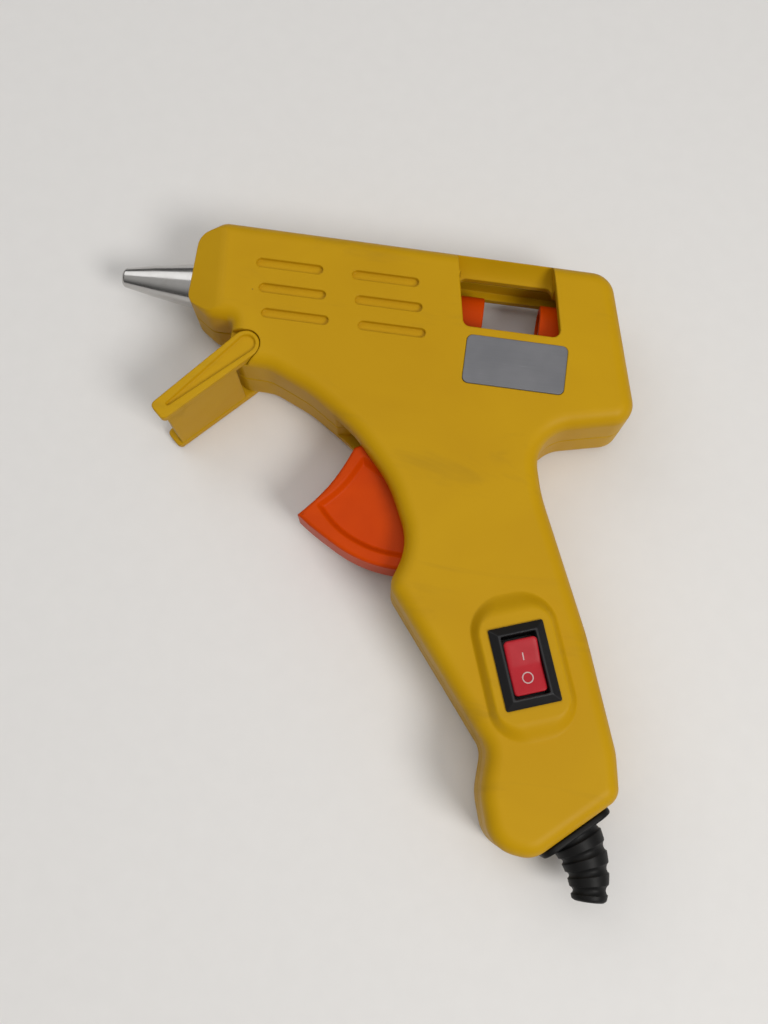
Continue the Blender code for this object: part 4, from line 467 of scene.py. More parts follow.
def rectangle_corners(length, width, radius):
    return [
        (Vector((x * length / 2, y * width / 2)), radius)
        for x, y in ((1, 1), (-1, 1), (-1, -1), (1, -1))
    ]


def rectangle(length, width, radius=0.0, centre=Vector((0, 0)), lean_deg=0.0):
    turn = math.radians(lean_deg)
    return [centre + turned_by(point, turn) for point in rounded(rectangle_corners(length, width, radius))]


def circle(radius, sides, centre=Vector((0, 0))):
    return [centre + polar(radius, 360 * step / sides) for step in range(sides)]


def arc(centre, radius, start_deg, sweep_deg, steps):
    """Points from one end of an arc to the other."""
    return [centre + polar(radius, start_deg + sweep_deg * step / steps) for step in range(steps + 1)]


def box(left, low, right, high):
    """The corners of an upright rectangle, anticlockwise."""
    return [Vector((left, low)), Vector((right, low)), Vector((right, high)), Vector((left, high))]


def teardrop(start, start_radius, end, end_radius, sides=SIDES_SMALL):
    """The outline round two circles, anticlockwise."""
    along = end - start
    heading = math.degrees(math.atan2(along.y, along.x))
    swing = math.degrees(math.acos((start_radius - end_radius) / along.length))
    near = arc(start, start_radius, heading + swing, 360 - 2 * swing, sides)
    return near + arc(end, end_radius, heading - swing, 2 * swing, sides)


def eased(share):
    """A share from 0 to 1 that starts and ends gently."""
    return share * share * (3 - 2 * share)


def quarter_round(radius, steps):
    """From the side of a round edge to its face: how far it draws in and lies below the face."""
    angles = [math.radians(90 * step / steps) for step in range(steps + 1)]
    return [(radius * (1 - math.cos(angle)), radius * (1 - math.sin(angle))) for angle in angles]


def bowed(start, knee, end, steps):
    """Points of a curve from start to end that bends towards the knee."""
    shares = [step / steps for step in range(steps + 1)]
    return [start.lerp(knee, share).lerp(knee.lerp(end, share), share) for share in shares]


# Solids
def prism(points, low, high):
    shape = bmesh.new()
    base = shape.faces.new([shape.verts.new((p.x, p.y, low)) for p in points])
    grown_up = bmesh.ops.extrude_face_region(shape, geom=[base])
    top = [item for item in grown_up["geom"] if isinstance(item, bmesh.types.BMVert)]
    bmesh.ops.translate(shape, verts=top, vec=(0, 0, high - low))
    bmesh.ops.recalc_face_normals(shape, faces=shape.faces[:])
    return shape


def raised(points, height):
    return [Vector((p.x, p.y, height)) for p in points]


def layered(rings):
    """A closed solid through stacked rings of equal counts of 3-D points."""
    shape = bmesh.new()
    loops = [[shape.verts.new(point) for point in ring] for ring in rings]
    for lower, upper in zip(loops, loops[1:]):
        for index in range(len(lower)):
            following = (index + 1) % len(lower)
            shape.faces.new((lower[index], lower[following], upper[following], upper[index]))
    shape.faces.new(loops[0][::-1])
    shape.faces.new(loops[-1])
    bmesh.ops.recalc_face_normals(shape, faces=shape.faces[:])
    return shape


def stacked(corners, levels, step_deg=ARC_STEP_DEG):
    """A solid through one rounded outline at several levels, each given as an inset and a height."""
    return layered([
        raised(rounded(inset_corners(corners, inset), step_deg), height) for inset, height in levels
    ])


def turned(profile, sides):
    """A solid turned about the X axis from a closed profile of (along, radius) points."""
    shape = bmesh.new()
    verts = [shape.verts.new((along, radius, 0)) for along, radius in profile]
    edges = []
    for index, vert in enumerate(verts):
        edges.append(shape.edges.new((verts[index - 1], vert)))
    bmesh.ops.spin(
        shape, geom=verts + edges, cent=(0, 0, 0), axis=(1, 0, 0), angle=math.tau, steps=sides,
        use_merge=True, use_duplicate=False,
    )
    bmesh.ops.remove_doubles(shape, verts=shape.verts[:], dist=GAP / SIDES_FINE / 4)
    loose = [edge for edge in shape.edges if not edge.link_faces]
    bmesh.ops.delete(shape, geom=loose, context="EDGES")
    bmesh.ops.recalc_face_normals(shape, faces=shape.faces[:])
    return shape


def softened(profile, reach):
    """A turned profile whose corners are cut back and rounded by a small reach, except on the axis."""
    points = []
    for corner, before, after in with_neighbours([Vector(place) for place in profile]):
        cut_back = min(reach, before.length / 3, after.length / 3)
        if corner.y <= 0 or cut_back < reach / 20:
            points.append(corner.to_tuple())
            continue
        start = corner + before.normalized() * cut_back
        end = corner + after.normalized() * cut_back
        points += [place.to_tuple() for place in bowed(start, corner, end, SOFT_STEPS)]
    return points


def moved(shape, offset=(0, 0, 0), turn=None):
    if turn is not None:
        bmesh.ops.transform(shape, matrix=turn, verts=shape.verts[:])
    bmesh.ops.translate(shape, verts=shape.verts[:], vec=offset)
    return shape


def merged(shapes):
    whole = bmesh.new()
    for shape in shapes:
        part = bpy.data.meshes.new("part")
        shape.to_mesh(part)
        shape.free()
        whole.from_mesh(part)
        bpy.data.meshes.remove(part)
    return whole


def mirrored(shape, side):
    """The shape on the switch's side, or its mirror image on the other side."""
    if side < 0:
        bmesh.ops.scale(shape, vec=(1, 1, -1), verts=shape.verts[:])
        bmesh.ops.reverse_faces(shape, faces=shape.faces[:])
    return shape


def spanning(low, high, side):
    return (low, high) if side > 0 else (-high, -low)


def cylinder_along_x(radius, start, end, sides=SIDES_FINE):
    return turned([(start, 0.0), (end, 0.0), (end, radius), (start, radius)], sides)


def cylinder_up(radius, centre, low, high, sides=SIDES_MEDIUM):
    return prism(circle(radius, sides, centre), low, high)


def linked(name, data):
    """A new object in the scene."""
    made = bpy.data.objects.new(name, data)
    bpy.context.scene.collection.objects.link(made)
    return made


def loose_object(name, shape):
    mesh = bpy.data.meshes.new(name)
    shape.to_mesh(mesh)
    shape.free()
    return linked(name, mesh)


def discard(item):
    old = item.data
    bpy.data.objects.remove(item)
    bpy.data.meshes.remove(old)


def settled(item):
    """The object's mesh with its modifiers applied, as a bmesh; the object goes."""
    bpy.context.view_layer.update()
    depsgraph = bpy.context.evaluated_depsgraph_get()
    mesh = bpy.data.meshes.new_from_object(item.evaluated_get(depsgraph))
    shape = bmesh.new()
    shape.from_mesh(mesh)
    bpy.data.meshes.remove(mesh)
    discard(item)
    return shape


def cut(*shapes):
    return [("DIFFERENCE", shape) for shape in shapes]


def join(*shapes):
    return [("UNION", shape) for shape in shapes]


def carved(shape, steps):
    """A solid with other shapes cut from it or joined to it, each step an operation and a shape."""
    body = loose_object("body", shape)
    tools = []
    for operation, tool in steps:
        tools.append(loose_object("tool", tool))
        modifier = body.modifiers.new("carve", "BOOLEAN")
        modifier.operation = operation
        modifier.solver = "EXACT"
        modifier.object = tools[-1]
    result = settled(body)
    for tool in tools:
        discard(tool)
    bmesh.ops.remove_doubles(result, verts=result.verts[:], dist=WELD)
    bmesh.ops.dissolve_degenerate(result, edges=result.edges[:], dist=WELD)
    return result


def piece(name, shape, body, slot, nodes=(), finish=None, sharp_deg=SHARP_DEG):
    """A finished piece that rides on a body and stands for the CAD nodes named."""
    bmesh.ops.translate(shape, verts=shape.verts[:], vec=SHIFT)
    made = loose_object(name, shape)
    made.data.shade_smooth()
    made.data.set_sharp_from_angle(angle=math.radians(sharp_deg))
    made.data.materials.clear()
    made.data.materials.append(finish or finishes[slot])
    for polygon in made.data.polygons:
        polygon.material_index = 0
    weighted = made.modifiers.new("even shading", "WEIGHTED_NORMAL")
    weighted.keep_sharp = True
    weighted.weight = 100
    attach(made, body)
    if nodes:
        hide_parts(*nodes)


# Housing shells
def housing_corners():
    """The corners of the housing seen from the switch's side, anticlockwise, each with its radius."""
    def band(point, shares):
        return [(point(along, across), bend * BARREL_HEIGHT) for along, across, bend in shares]

    lug_front = STAND_PIVOT.x - STAND_LUG_RADIUS
    lug = [
        (Vector((lug_front, STAND_PIVOT.y - STAND_LUG_RADIUS)), STAND_LUG_RADIUS),
        (Vector((lug_front, BARREL_LOW)), LUG_CORNER_SHARE * BARREL_HEIGHT),
    ]
    rear = band(barrel_point, BARREL_TOP_SHARES) + band(body_point, BODY_REAR_SHARES)
    front = band(body_point, BODY_FRONT_SHARES) + lug + band(barrel_point, SNOUT_SHARES)
    corners = (rear + band(grip_point, GRIP_SHARES) + front)[::-1]
    return list(zip([place for place, _ in corners], fitting_radii(corners)))


def snout_wedge(sink, side):
    """The slope that narrows the snout towards the nozzle, lowered by a wall for the hollow inside."""
    start = NOZZLE_REACH + SNOUT_TAPER_LENGTH
    front = NOZZLE_REACH - OVERRUN
    depth = SNOUT_TAPER_DEPTH * (start - front) / SNOUT_TAPER_LENGTH
    top = HALF_THICKNESS - sink
    blend = SNOUT_TAPER_LENGTH / 5
    rings = []
    ends = ((BARREL_LOW - STAND_LUG_RADIUS, WINDOW_LEAN / 2), (BARREL_TOP + OVERRUN, -WINDOW_LEAN / 2))
    for up, lean in ends:
        slope = Vector((start + lean - blend, top - depth * blend / (start - front)))
        far = Vector((start + lean + blend, top))
        section = [(front, top - depth)]
        # The curve rises by a hair, so that its end doesn't lie in the block's own face
        for step, place in enumerate(bowed(slope, Vector((start + lean, top)), far, SNOUT_STEPS)):
            section.append((place.x, place.y + PARTING / 10 * (step / SNOUT_STEPS)))
        section += [(far.x, HALF_THICKNESS + OVERRUN), (front, HALF_THICKNESS + OVERRUN)]
        rings.append([Vector((along, up, height)) for along, height in section])
    return mirrored(layered(rings), side)


def housing_block(side):
    """Half of the outer form: a small lip at the seam, straight sides and a full round to the flat face."""
    lip = SEAM_BEVEL * SEAM_LIP_SHARE
    levels = [(SEAM_BEVEL, PARTING), (lip, PARTING + lip), (0.0, PARTING + SEAM_BEVEL)]
    levels += [(draw, HALF_THICKNESS - drop) for draw, drop in quarter_round(EDGE_ROUND, EDGE_STEPS)]
    return mirrored(stacked(housing_corners(), levels), side)


def on_cord(shape):
    """A shape that lies along X, moved to where the cord leaves the butt."""
    return moved(shape, (*CORD_CENTRE, 0), Matrix.Rotation(CORD_HEADING, 4, "Z"))


def on_switch(length, width, radius=0.0):
    """A rectangle round the switch's middle that leans as the switch does."""
    return rectangle(length, width, radius, SWITCH_CENTRE, SWITCH_LEAN_DEG - 90)


def window_side_x(height, side):
    """X of the feed window's front or rear edge at a height; both edges lean alike."""
    lean = (height - WINDOW_CENTRE.y) * WINDOW_LEAN / WINDOW_HEIGHT
    return WINDOW_CENTRE.x + side * WINDOW_LENGTH / 2 - lean


def window_corners():
    corners = []
    for side, up in ((1, 1), (-1, 1), (-1, -1), (1, -1)):
        height = WINDOW_CENTRE.y + up * WINDOW_HEIGHT / 2
        corners.append((Vector((window_side_x(height, side), height)), WINDOW_ROUND))
    return corners


def flared_cut(corners, side, lip):
    """A cutter through the side whose mouth opens with a small round lip."""
    levels = [(0.0, -OVERRUN)]
    levels += [(-draw, HALF_THICKNESS - drop) for draw, drop in quarter_round(lip, SMALL_STEPS)]
    levels.append((-lip, HALF_THICKNESS + OVERRUN))
    return mirrored(stacked(corners, levels), side)


def scoop(side):
    """The hollow cut into the side above the window, its floor curving up to the barrel's top."""
    low = WINDOW_CENTRE.y + WINDOW_HEIGHT / 2 - WINDOW_ROUND / 2
    high = barrel_point(*BARREL_TOP_SHARES[-1][:2]).y
    floor = HALF_THICKNESS - SCOOP_DEPTH
    rise = SCOOP_DEPTH - EDGE_ROUND / 3
    section = []
    for step in range(SCOOP_STEPS + 1):
        share = step / SCOOP_STEPS
        section.append((low + (high - low) * share, floor + rise * share ** SCOOP_CURVE))
    section += [(high, HALF_THICKNESS + OVERRUN), (low, HALF_THICKNESS + OVERRUN)]
    rings = []
    for end in (-1, 1):
        rings.append([Vector((window_side_x(height, end), height, level)) for height, level in section])
    return mirrored(layered(rings), side)


def scoop_backing(side):
    """The wall left behind the scoop."""
    low = WINDOW_CENTRE.y + WINDOW_HEIGHT / 2 - WINDOW_ROUND
    block = box(window_side_x(low, -1) - WALL, low, window_side_x(low, 1) + WALL, BARREL_TOP)
    return prism(block, *spanning(HALF_THICKNESS - SCOOP_DEPTH - SCOOP_WALL, HALF_THICKNESS, side))


def rib_at(along, low, side):
    """A rib across one shell, from a height up to the barrel's top."""
    outline = box(along, low, along + RIB_THICKNESS, BARREL_TOP)
    return prism(outline, *spanning(-2 * OVERRUN, HALF_THICKNESS, side))


def carriage_places():
    """X of the front plate's front face, the rear plate's rear face, and the fork's middle."""
    rear = window_side_x(WINDOW_CENTRE.y, 1) + CARRIAGE_PLATE_REAR / 3
    front = rear - CARRIAGE_PLATE_REAR - CARRIAGE_PLATE_SPACING - CARRIAGE_PLATE_FRONT
    return front, rear, TRIGGER_PIVOT.x + TRIGGER_ARM_LENGTH * math.sin(HALF_TRAVEL)


def rails(side):
    """The ledge under the carriage's base, long enough for its travel."""
    front, rear, _ = carriage_places()
    travel = 2 * TRIGGER_ARM_LENGTH * math.sin(HALF_TRAVEL)
    top = -CARRIAGE_BASE_DROP - CARRIAGE_BASE_HEIGHT - GAP
    middle = Vector(((front + rear - travel) / 2, top - RIB_THICKNESS / 2))
    ledge = rectangle(rear - front + travel + CARRIAGE_PLATE_REAR, RIB_THICKNESS, centre=middle)
    return prism(ledge, *spanning(FORK_WIDTH / 2 + RUNNING_GAP, HALF_THICKNESS, side))


def trigger_slot():
    """Where the trigger comes out of the body: a sector round its pivot."""
    hub = TRIGGER_HUB_RADIUS + RUNNING_GAP
    reach = TRIGGER_PAD_RADIUS + RUNNING_GAP
    upper, lower, last = SLOT_HUB_DEG
    points = [TRIGGER_PIVOT + polar(hub, upper), TRIGGER_PIVOT + polar(hub, lower)]
    points += arc(TRIGGER_PIVOT, reach, SLOT_START_DEG, SLOT_SWEEP_DEG, SIDES_SMALL)
    points.append(TRIGGER_PIVOT + polar(hub, last))
    half = TRIGGER_WIDTH / 2 + RUNNING_GAP
    return prism(points, -half, half)


def arm_recess(side):
    """Room beside the lug for the stand's arm, from where it stands to where it folds forward."""
    reach = STAND_PIVOT_RADIUS + GAP / 2
    low = HALF_THICKNESS - STAND_FACE_DROP - STAND_ARM_THICKNESS - GAP
    far = STAND_PIVOT_RADIUS + STAND_LUG_RADIUS
    behind_deg = STAND_ANGLE_DEG + 90
    points = arc(STAND_PIVOT, reach, behind_deg - 360, 450 - behind_deg, SIDES_SMALL)
    points += [STAND_PIVOT + Vector((-far, reach)), STAND_PIVOT + Vector((-far, -far))]
    points.append(STAND_PIVOT + STAND_HEADING * far + polar(reach, behind_deg))
    return prism(points, *spanning(low, HALF_THICKNESS + OVERRUN, side))


def cavity(side):
    """The hollow inside one shell, less all that stands in it."""
    outline = rounded(inset_corners(housing_corners(), WALL))
    hollow = prism(outline, *spanning(-OVERRUN, HALF_THICKNESS - WALL, side))
    boss_span = spanning(-2 * OVERRUN, HALF_THICKNESS, side)
    boss_radius = SCREW_BOSS_RADIUS if side > 0 else SCREW_HEAD_RADIUS + GAP + SCREW_SEAT_WALL
    bosses = [cylinder_up(boss_radius, place, *boss_span) for place in SCREW_PLACES.values()]
    pivot_span = spanning(TRIGGER_WIDTH / 2 + GAP, HALF_THICKNESS, side)
    bosses.append(cylinder_up(PIVOT_BOSS_RADIUS, TRIGGER_PIVOT, *pivot_span))
    lug = cylinder_up(STAND_PIVOT_RADIUS + RUNNING_GAP + LUG_BACKING, STAND_PIVOT, *boss_span)
    front_rib = barrel_point(INSULATOR_SHARE, 0).x
    barrel_end = BARREL_START + BARREL_LENGTH
    ribs = [
        rib_at(front_rib, BARREL_LOW, side),
        rib_at(front_rib + RIB_THICKNESS + INSULATOR_LENGTH + 2 * GAP, BARREL_LOW, side),
        rib_at(barrel_end + SPIGOT_LENGTH + 2 * GAP, BARREL_LOW + WALL, side),
        rib_at(REAR_RIB, BARREL_LOW + WALL, side),
        scoop_backing(side),
        rails(side),
    ]
    return carved(hollow, cut(snout_wedge(WALL, side), merged(bosses), lug, merged(ribs)))


def round_holes():
    """Holes along the barrel's axis: nozzle, barrel, sleeve and stick inlet."""
    sleeve_rib = BARREL_START + BARREL_LENGTH + SPIGOT_LENGTH
    sleeve_radius = SPIGOT_RADIUS + GAP + SLEEVE_WALL + GAP
    end = NOZZLE_REACH + HOUSING_LENGTH
    lip = WALL / 4
    mouth = [(end + OVERRUN, 0.0), (end + OVERRUN, INLET_RADIUS + lip)]
    for step in range(INLET_STEPS + 1):
        share = math.sin(math.radians(90 * step / INLET_STEPS))
        mouth.append((end - lip * share, INLET_RADIUS + lip * (1 - share)))
    mouth += [(REAR_RIB - OVERRUN, INLET_RADIUS), (REAR_RIB - OVERRUN, 0.0)]
    return [
        cylinder_along_x(NOZZLE_HOLE_RADIUS, NOZZLE_REACH - OVERRUN, NOZZLE_REACH + WALL + OVERRUN),
        cylinder_along_x(BARREL_RADIUS + GAP, BARREL_START, sleeve_rib),
        cylinder_along_x(sleeve_radius, sleeve_rib - OVERRUN, sleeve_rib + RIB_THICKNESS + OVERRUN),
        turned(mouth, SIDES_MEDIUM),
    ]


def switch_pad():
    """The raised pad that carries the switch, swelling softly out of the grip."""
    foot = on_switch(SWITCH_PAD_BASE_LENGTH, SWITCH_PAD_BASE_WIDTH, SWITCH_PAD_BASE_WIDTH * PAD_FOOT_BEND)
    top = on_switch(SWITCH_PAD_LENGTH, SWITCH_PAD_WIDTH, SWITCH_PAD_WIDTH * PAD_TOP_BEND)
    base = HALF_THICKNESS - PARTING / 3
    rings = [raised(foot, HALF_THICKNESS - WALL / 2)]
    for step in range(PAD_STEPS + 1):
        share = step / PAD_STEPS
        height = base + (HALF_THICKNESS + SWITCH_PAD_HEIGHT - base) * eased(share)
        narrower = PAD_SETBACK + (1 - PAD_SETBACK) * share
        rings.append(raised([low.lerp(high, narrower) for low, high in zip(foot, top)], height))
    return layered(rings)


def switch_hole():
    slack = 2 * GAP - 2 * SWITCH_BODY_INSET
    body = on_switch(SWITCH_LENGTH + slack, SWITCH_WIDTH + slack)
    return prism(body, 0, HALF_THICKNESS + SWITCH_PAD_HEIGHT + OVERRUN)


def label_outline(growth=0.0):
    centre = barrel_point(*LABEL_CENTRE_SHARE)
    return rectangle(LABEL_LENGTH + 2 * growth, LABEL_HEIGHT + 2 * growth, LABEL_ROUND, centre)


def clamp_screw_places():
    middle = CORD_CENTRE - CORD_OUT * CLAMP_SETBACK
    return [middle + CORD_ALONG * side * CLAMP_SCREW_SPACING / 2 for side in (-1, 1)]


def screw_seat(place):
    """The stepped hole that a housing screw goes through, its wide mouth outside with a small lip."""
    step = SCREW_SINK + SCREW_HEAD_HEIGHT
    seat = SCREW_HEAD_RADIUS + GAP
    hole = SCREW_SHANK_RADIUS + GAP
    shape = turned([
        (HALF_THICKNESS + OVERRUN, 0.0), (HALF_THICKNESS + OVERRUN, hole), (step, hole), (step, seat),
        (GAP, seat), (GAP / 4, seat + GAP / 4), (0.0, seat + GAP), (-OVERRUN, seat + GAP), (-OVERRUN, 0.0),
    ], SIDES_MEDIUM)
    return moved(shape, (place.x, place.y, -HALF_THICKNESS), X_TO_Z)


def shell(side):
    """One housing shell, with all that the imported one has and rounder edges."""
    places = SCREW_PLACES.values()
    through = spanning(-OVERRUN, HALF_THICKNESS + OVERRUN, side)
    blind = spanning(0, HALF_THICKNESS - WALL / 2, side)
    steps = []
    if side > 0:
        depth = SCREW_LENGTH - HALF_THICKNESS + SCREW_SINK + SCREW_HEAD_HEIGHT + 2 * GAP
        screws = [cylinder_up(SCREW_SHANK_RADIUS + GAP, place, -OVERRUN, depth) for place in places]
        steps += join(switch_pad())
    else:
        screws = [screw_seat(place) for place in places]
    steps += cut(
        snout_wedge(0.0, side), merged(screws), cavity(side), flared_cut(window_corners(), side, GAP),
        scoop(side), grooves(side), trigger_slot(), *round_holes(),
        on_cord(cylinder_along_x(BOOT_NECK_RADIUS + GAP, -WALL - OVERRUN, OVERRUN)), arm_recess(side),
        cylinder_up(STAND_PIN_RADIUS + GAP, STAND_PIVOT, *through),
        cylinder_up(TRIGGER_PIN_RADIUS + GAP, TRIGGER_PIVOT, *blind),
    )
    if side > 0:
        post = SPRING_PEG + Vector((SPRING_SPAN, 0))
        post_low = SPRING_LEVEL - SPRING_COIL_RADIUS
        steps += join(cylinder_up(SPRING_POST_RADIUS, post, post_low, HALF_THICKNESS - WALL / 2))
        label = prism(label_outline(GAP / 4), HALF_THICKNESS - LABEL_RECESS, HALF_THICKNESS + OVERRUN)
        steps += cut(switch_hole(), label)
    else:
        top = -CLAMP_LEVEL - CLAMP_THICKNESS / 2 - GAP
        posts = []
        holes = []
        for place in clamp_screw_places():
            posts.append(cylinder_up(CLAMP_SCREW_RADIUS + WALL / 2, place, -HALF_THICKNESS + WALL / 2, top))
            holes.append(cylinder_up(CLAMP_SCREW_RADIUS + GAP, place, -HALF_THICKNESS + WALL, OVERRUN))
        steps += join(merged(posts)) + cut(merged(holes))
    name = "left" if side > 0 else "right"
    shape = carved(housing_block(side), steps)
    node = f"{name}_housing_shell"
    piece(f"housing_{name}", shape, "housing", "housing", (node,), sharp_deg=SHELL_SHARP_DEG)


# Node trees
def applies(operation, reflected=False):
    """A method that adds a Math node for the socket and what stands on the other side of the sign."""
    def method(self, other):
        return self.math(operation, other, self) if reflected else self.math(operation, self, other)
    return method


class Value:
    """A socket of a node tree. Arithmetic on it adds Math nodes to that tree."""

    def __init__(self, maker, socket):
        self.maker = maker
        self.socket = socket

    def math(self, operation, first, second=0.0):
        return self.maker.node("ShaderNodeMath", {"operation": operation}, {0: first, 1: second})

    __add__ = applies("ADD")
    __radd__ = applies("ADD", reflected=True)
    __sub__ = applies("SUBTRACT")
    __rsub__ = applies("SUBTRACT", reflected=True)
    __mul__ = applies("MULTIPLY")
    __rmul__ = applies("MULTIPLY", reflected=True)
    __truediv__ = applies("DIVIDE")
    __lt__ = applies("LESS_THAN")


class Maker:
    """Adds nodes to one tree."""

    def __init__(self, tree):
        self.tree = tree

    def node(self, kind, settings=None, values=None, output=0):
        """A new node: its settings first, then its sockets' values or links. Gives one of its outputs."""
        made = self.tree.nodes.new(kind)
        for key, setting in (settings or {}).items():
            if key == "stops":
                while len(made.color_ramp.elements) < len(setting):
                    made.color_ramp.elements.new(1.0)
                for element, (position, shade) in zip(made.color_ramp.elements, setting):
                    element.position = position
                    element.color = (shade, shade, shade, 1.0)
            else:
                setattr(made, key, setting)
        for key, value in (values or {}).items():
            if isinstance(value, Value):
                self.tree.links.new(value.socket, made.inputs[key])
            else:
                made.inputs[key].default_value = value
        return Value(self, made.outputs[output])


class Finish(Maker):
    """A material with one Principled shader, described by what changes over its surface."""

    def __init__(self, name):
        self.material = bpy.data.materials.new(name)
        self.material.use_nodes = True
        super().__init__(self.material.node_tree)
        self.shader = self.tree.nodes["Principled BSDF"]
        self.place = self.node("ShaderNodeTexCoord", output="Object")

    def stretched(self, x, y, z):
        """Object coordinates scaled apart along the three axes."""
        return self.node("ShaderNodeMapping", values={"Vector": self.place, "Scale": (x, y, z)})

    def noise(self, size, detail=2.0, roughness=0.5, place=None, distortion=0.0):
        """Noise from 0 to 1 whose grains are about one size across, in metres."""
        return self.node("ShaderNodeTexNoise", values={
            "Vector": place or self.place, "Scale": 1.0 / size, "Detail": detail, "Roughness": roughness,
            "Distortion": distortion,
        })

    def mask(self, value, low, high):
        """0 where the value is below one bound, 1 where it is above the other, and a ramp between."""
        return self.node("ShaderNodeValToRGB", {"stops": ((low, 0.0), (high, 1.0))}, {0: value})

    def blend(self, mask, first, second):
        """The first colour where the mask is 0, the second where it is 1."""
        return self.node("ShaderNodeMix", {"data_type": "RGBA"}, {0: mask, 6: first, 7: second}, output=2)

    def dots(self, spacing, radius, share):
        """Round specks scattered about one spacing apart, in a share of the cells."""
        values = {"Vector": self.place, "Scale": 1.0 / spacing}
        settings = {"feature": "F1"}
        near = self.node("ShaderNodeTexVoronoi", settings, values, output="Distance")
        chosen = self.node("ShaderNodeTexVoronoi", settings, values, output="Color")
        red = self.node("ShaderNodeSeparateColor", values={0: chosen})
        return (near < radius / spacing) * (red < share)

    def edges(self, reach):
        """A mask of the edges within a reach, and the surface's direction with those edges rounded."""
        soft = self.node("ShaderNodeBevel", {"samples": 4}, {"Radius": reach})
        true = self.node("ShaderNodeNewGeometry", output="Normal")
        settings = {"operation": "DOT_PRODUCT"}
        dot = self.node("ShaderNodeVectorMath", settings, {0: soft, 1: true}, output="Value")
        # Where a finish uses this mask it lightens the edges: partly rubbed wear, partly painted highlight.
        return self.mask(1.0 - dot, *RUBBED_AND_HIGHLIT_BAND), soft

    def bump(self, height, distance, strength=1.0, normal=None):
        values = {"Height": height, "Distance": distance, "Strength": strength}
        if normal:
            values["Normal"] = normal
        return self.node("ShaderNodeBump", values=values)

    def finish(self, **sockets):
        """Sets the shader's sockets, named with underscores for spaces, and gives the material."""
        for name, value in sockets.items():
            socket = self.shader.inputs[name.replace("_", " ")]
            if isinstance(value, Value):
                self.tree.links.new(value.socket, socket)
            else:
                socket.default_value = value
        return self.material


def rgba(red, green, blue):
    return (red, green, blue, 1.0)


def deeper(colour, share):
    return rgba(*(channel * share for channel in colour[:3]))


# Finishes
def housing_plastic():
    """Satin moulded yellow: a fine spark texture, faint clouds, lighter edges that are partly rubbed and
    partly painted highlight, a few smudges and specks.
    """
    look = Finish("satin yellow plastic")
    base = rgba(0.535, 0.302, 0.0025)
    rubbed_and_highlit, soft = look.edges(0.0004)
    clouds = look.mask(look.noise(0.030, 3.0, 0.55, distortion=0.6), 0.35, 0.70)
    colour = look.blend(clouds, base, rgba(0.495, 0.271, 0.0020))
    smears = look.noise(0.022, 5.0, 0.62, look.stretched(0.45, 1.9, 1.0), 1.4)
    smudge = look.mask(smears, 0.57, 0.74)
    colour = look.blend(smudge * 0.30, colour, rgba(0.29, 0.17, 0.015))
    colour = look.blend(look.dots(0.0045, 0.00016, 0.16) * 0.55, colour, rgba(0.10, 0.06, 0.02))
    # Paler yellow on the edges: painted highlight, partly rubbed wear.
    colour = look.blend(rubbed_and_highlit * 0.30, colour, rgba(0.64, 0.41, 0.040))
    spark = look.noise(0.00022, 2.0, 0.6)
    flow = look.noise(0.006, 2.0, 0.5)
    rough = 0.40 + flow * 0.10 + smudge * 0.08 - rubbed_and_highlit * 0.08
    return look.finish(
        Base_Color=colour, Roughness=rough, Specular_IOR_Level=0.12,
        Normal=look.bump(spark + flow * 0.8, 0.000016, 0.55, soft),
    )


def trigger_plastic():
    """Brighter, smoother orange moulding with faint sink marks."""
    look = Finish("orange plastic")
    rubbed_and_highlit, soft = look.edges(0.0003)
    clouds = look.mask(look.noise(0.012, 2.0, 0.5, distortion=0.4), 0.35, 0.75)
    colour = look.blend(clouds, rgba(0.575, 0.056, 0.0002), rgba(0.500, 0.044, 0.0002))
    # Lighter orange along the rims and edges: painted highlight, partly rubbed wear.
    colour = look.blend(rubbed_and_highlit * 0.60, colour, rgba(0.78, 0.12, 0.010))
    colour = look.blend(look.dots(0.0032, 0.00010, 0.10) * 0.5, colour, rgba(0.16, 0.03, 0.01))
    waves = look.noise(0.0045, 2.0, 0.5)
    grain = look.noise(0.00035, 2.0, 0.5)
    return look.finish(
        Base_Color=colour, Roughness=0.34 + waves * 0.10, Specular_IOR_Level=0.07,
        Normal=look.bump(waves + grain * 0.25, 0.00003, 0.5, soft),
    )


def nozzle_metal():
    """Bright turned metal: fine rings from the lathe, a little dulled by old glue in patches."""
    look = Finish("bright turned metal")
    rings = look.noise(0.00022, 2.0, 0.5, look.stretched(1.0, 0.03, 0.03))
    haze = look.mask(look.noise(0.0035, 3.0, 0.6, distortion=0.5), 0.45, 0.8)
    # The metal's tones are darkened to stand in for dark surroundings mirrored in it: painted shade. The
    # darker patches are dulled glue.
    colour = look.blend(haze * 0.35, rgba(0.53, 0.52, 0.51), rgba(0.42, 0.40, 0.37))
    return look.finish(
        Base_Color=colour, Metallic=1.0, Roughness=0.13 + rings * 0.07 + haze * 0.10,
        Normal=look.bump(rings, 0.000010, 0.6),
    )


def metal(name, colour, rough, grain, mottle):
    """Plated, pressed or cast metal with a grain of one size and a share of darker mottle."""
    look = Finish(name)
    rubbed_and_highlit, soft = look.edges(0.00015)
    cloud = look.mask(look.noise(0.0028, 3.0, 0.6, distortion=0.4), 0.4, 0.75)
    shade = look.blend(cloud * mottle, colour, deeper(colour, 0.62))
    # Paler metal on the edges: partly rubbed wear, partly painted highlight.
    shade = look.blend(rubbed_and_highlit * 0.5, shade, deeper(colour, 1.12))
    pits = look.noise(grain, 3.0, 0.6)
    return look.finish(
        Base_Color=shade, Metallic=1.0, Roughness=rough + cloud * 0.12 + pits * 0.06,
        Normal=look.bump(pits, 0.00003, 0.5, soft),
    )


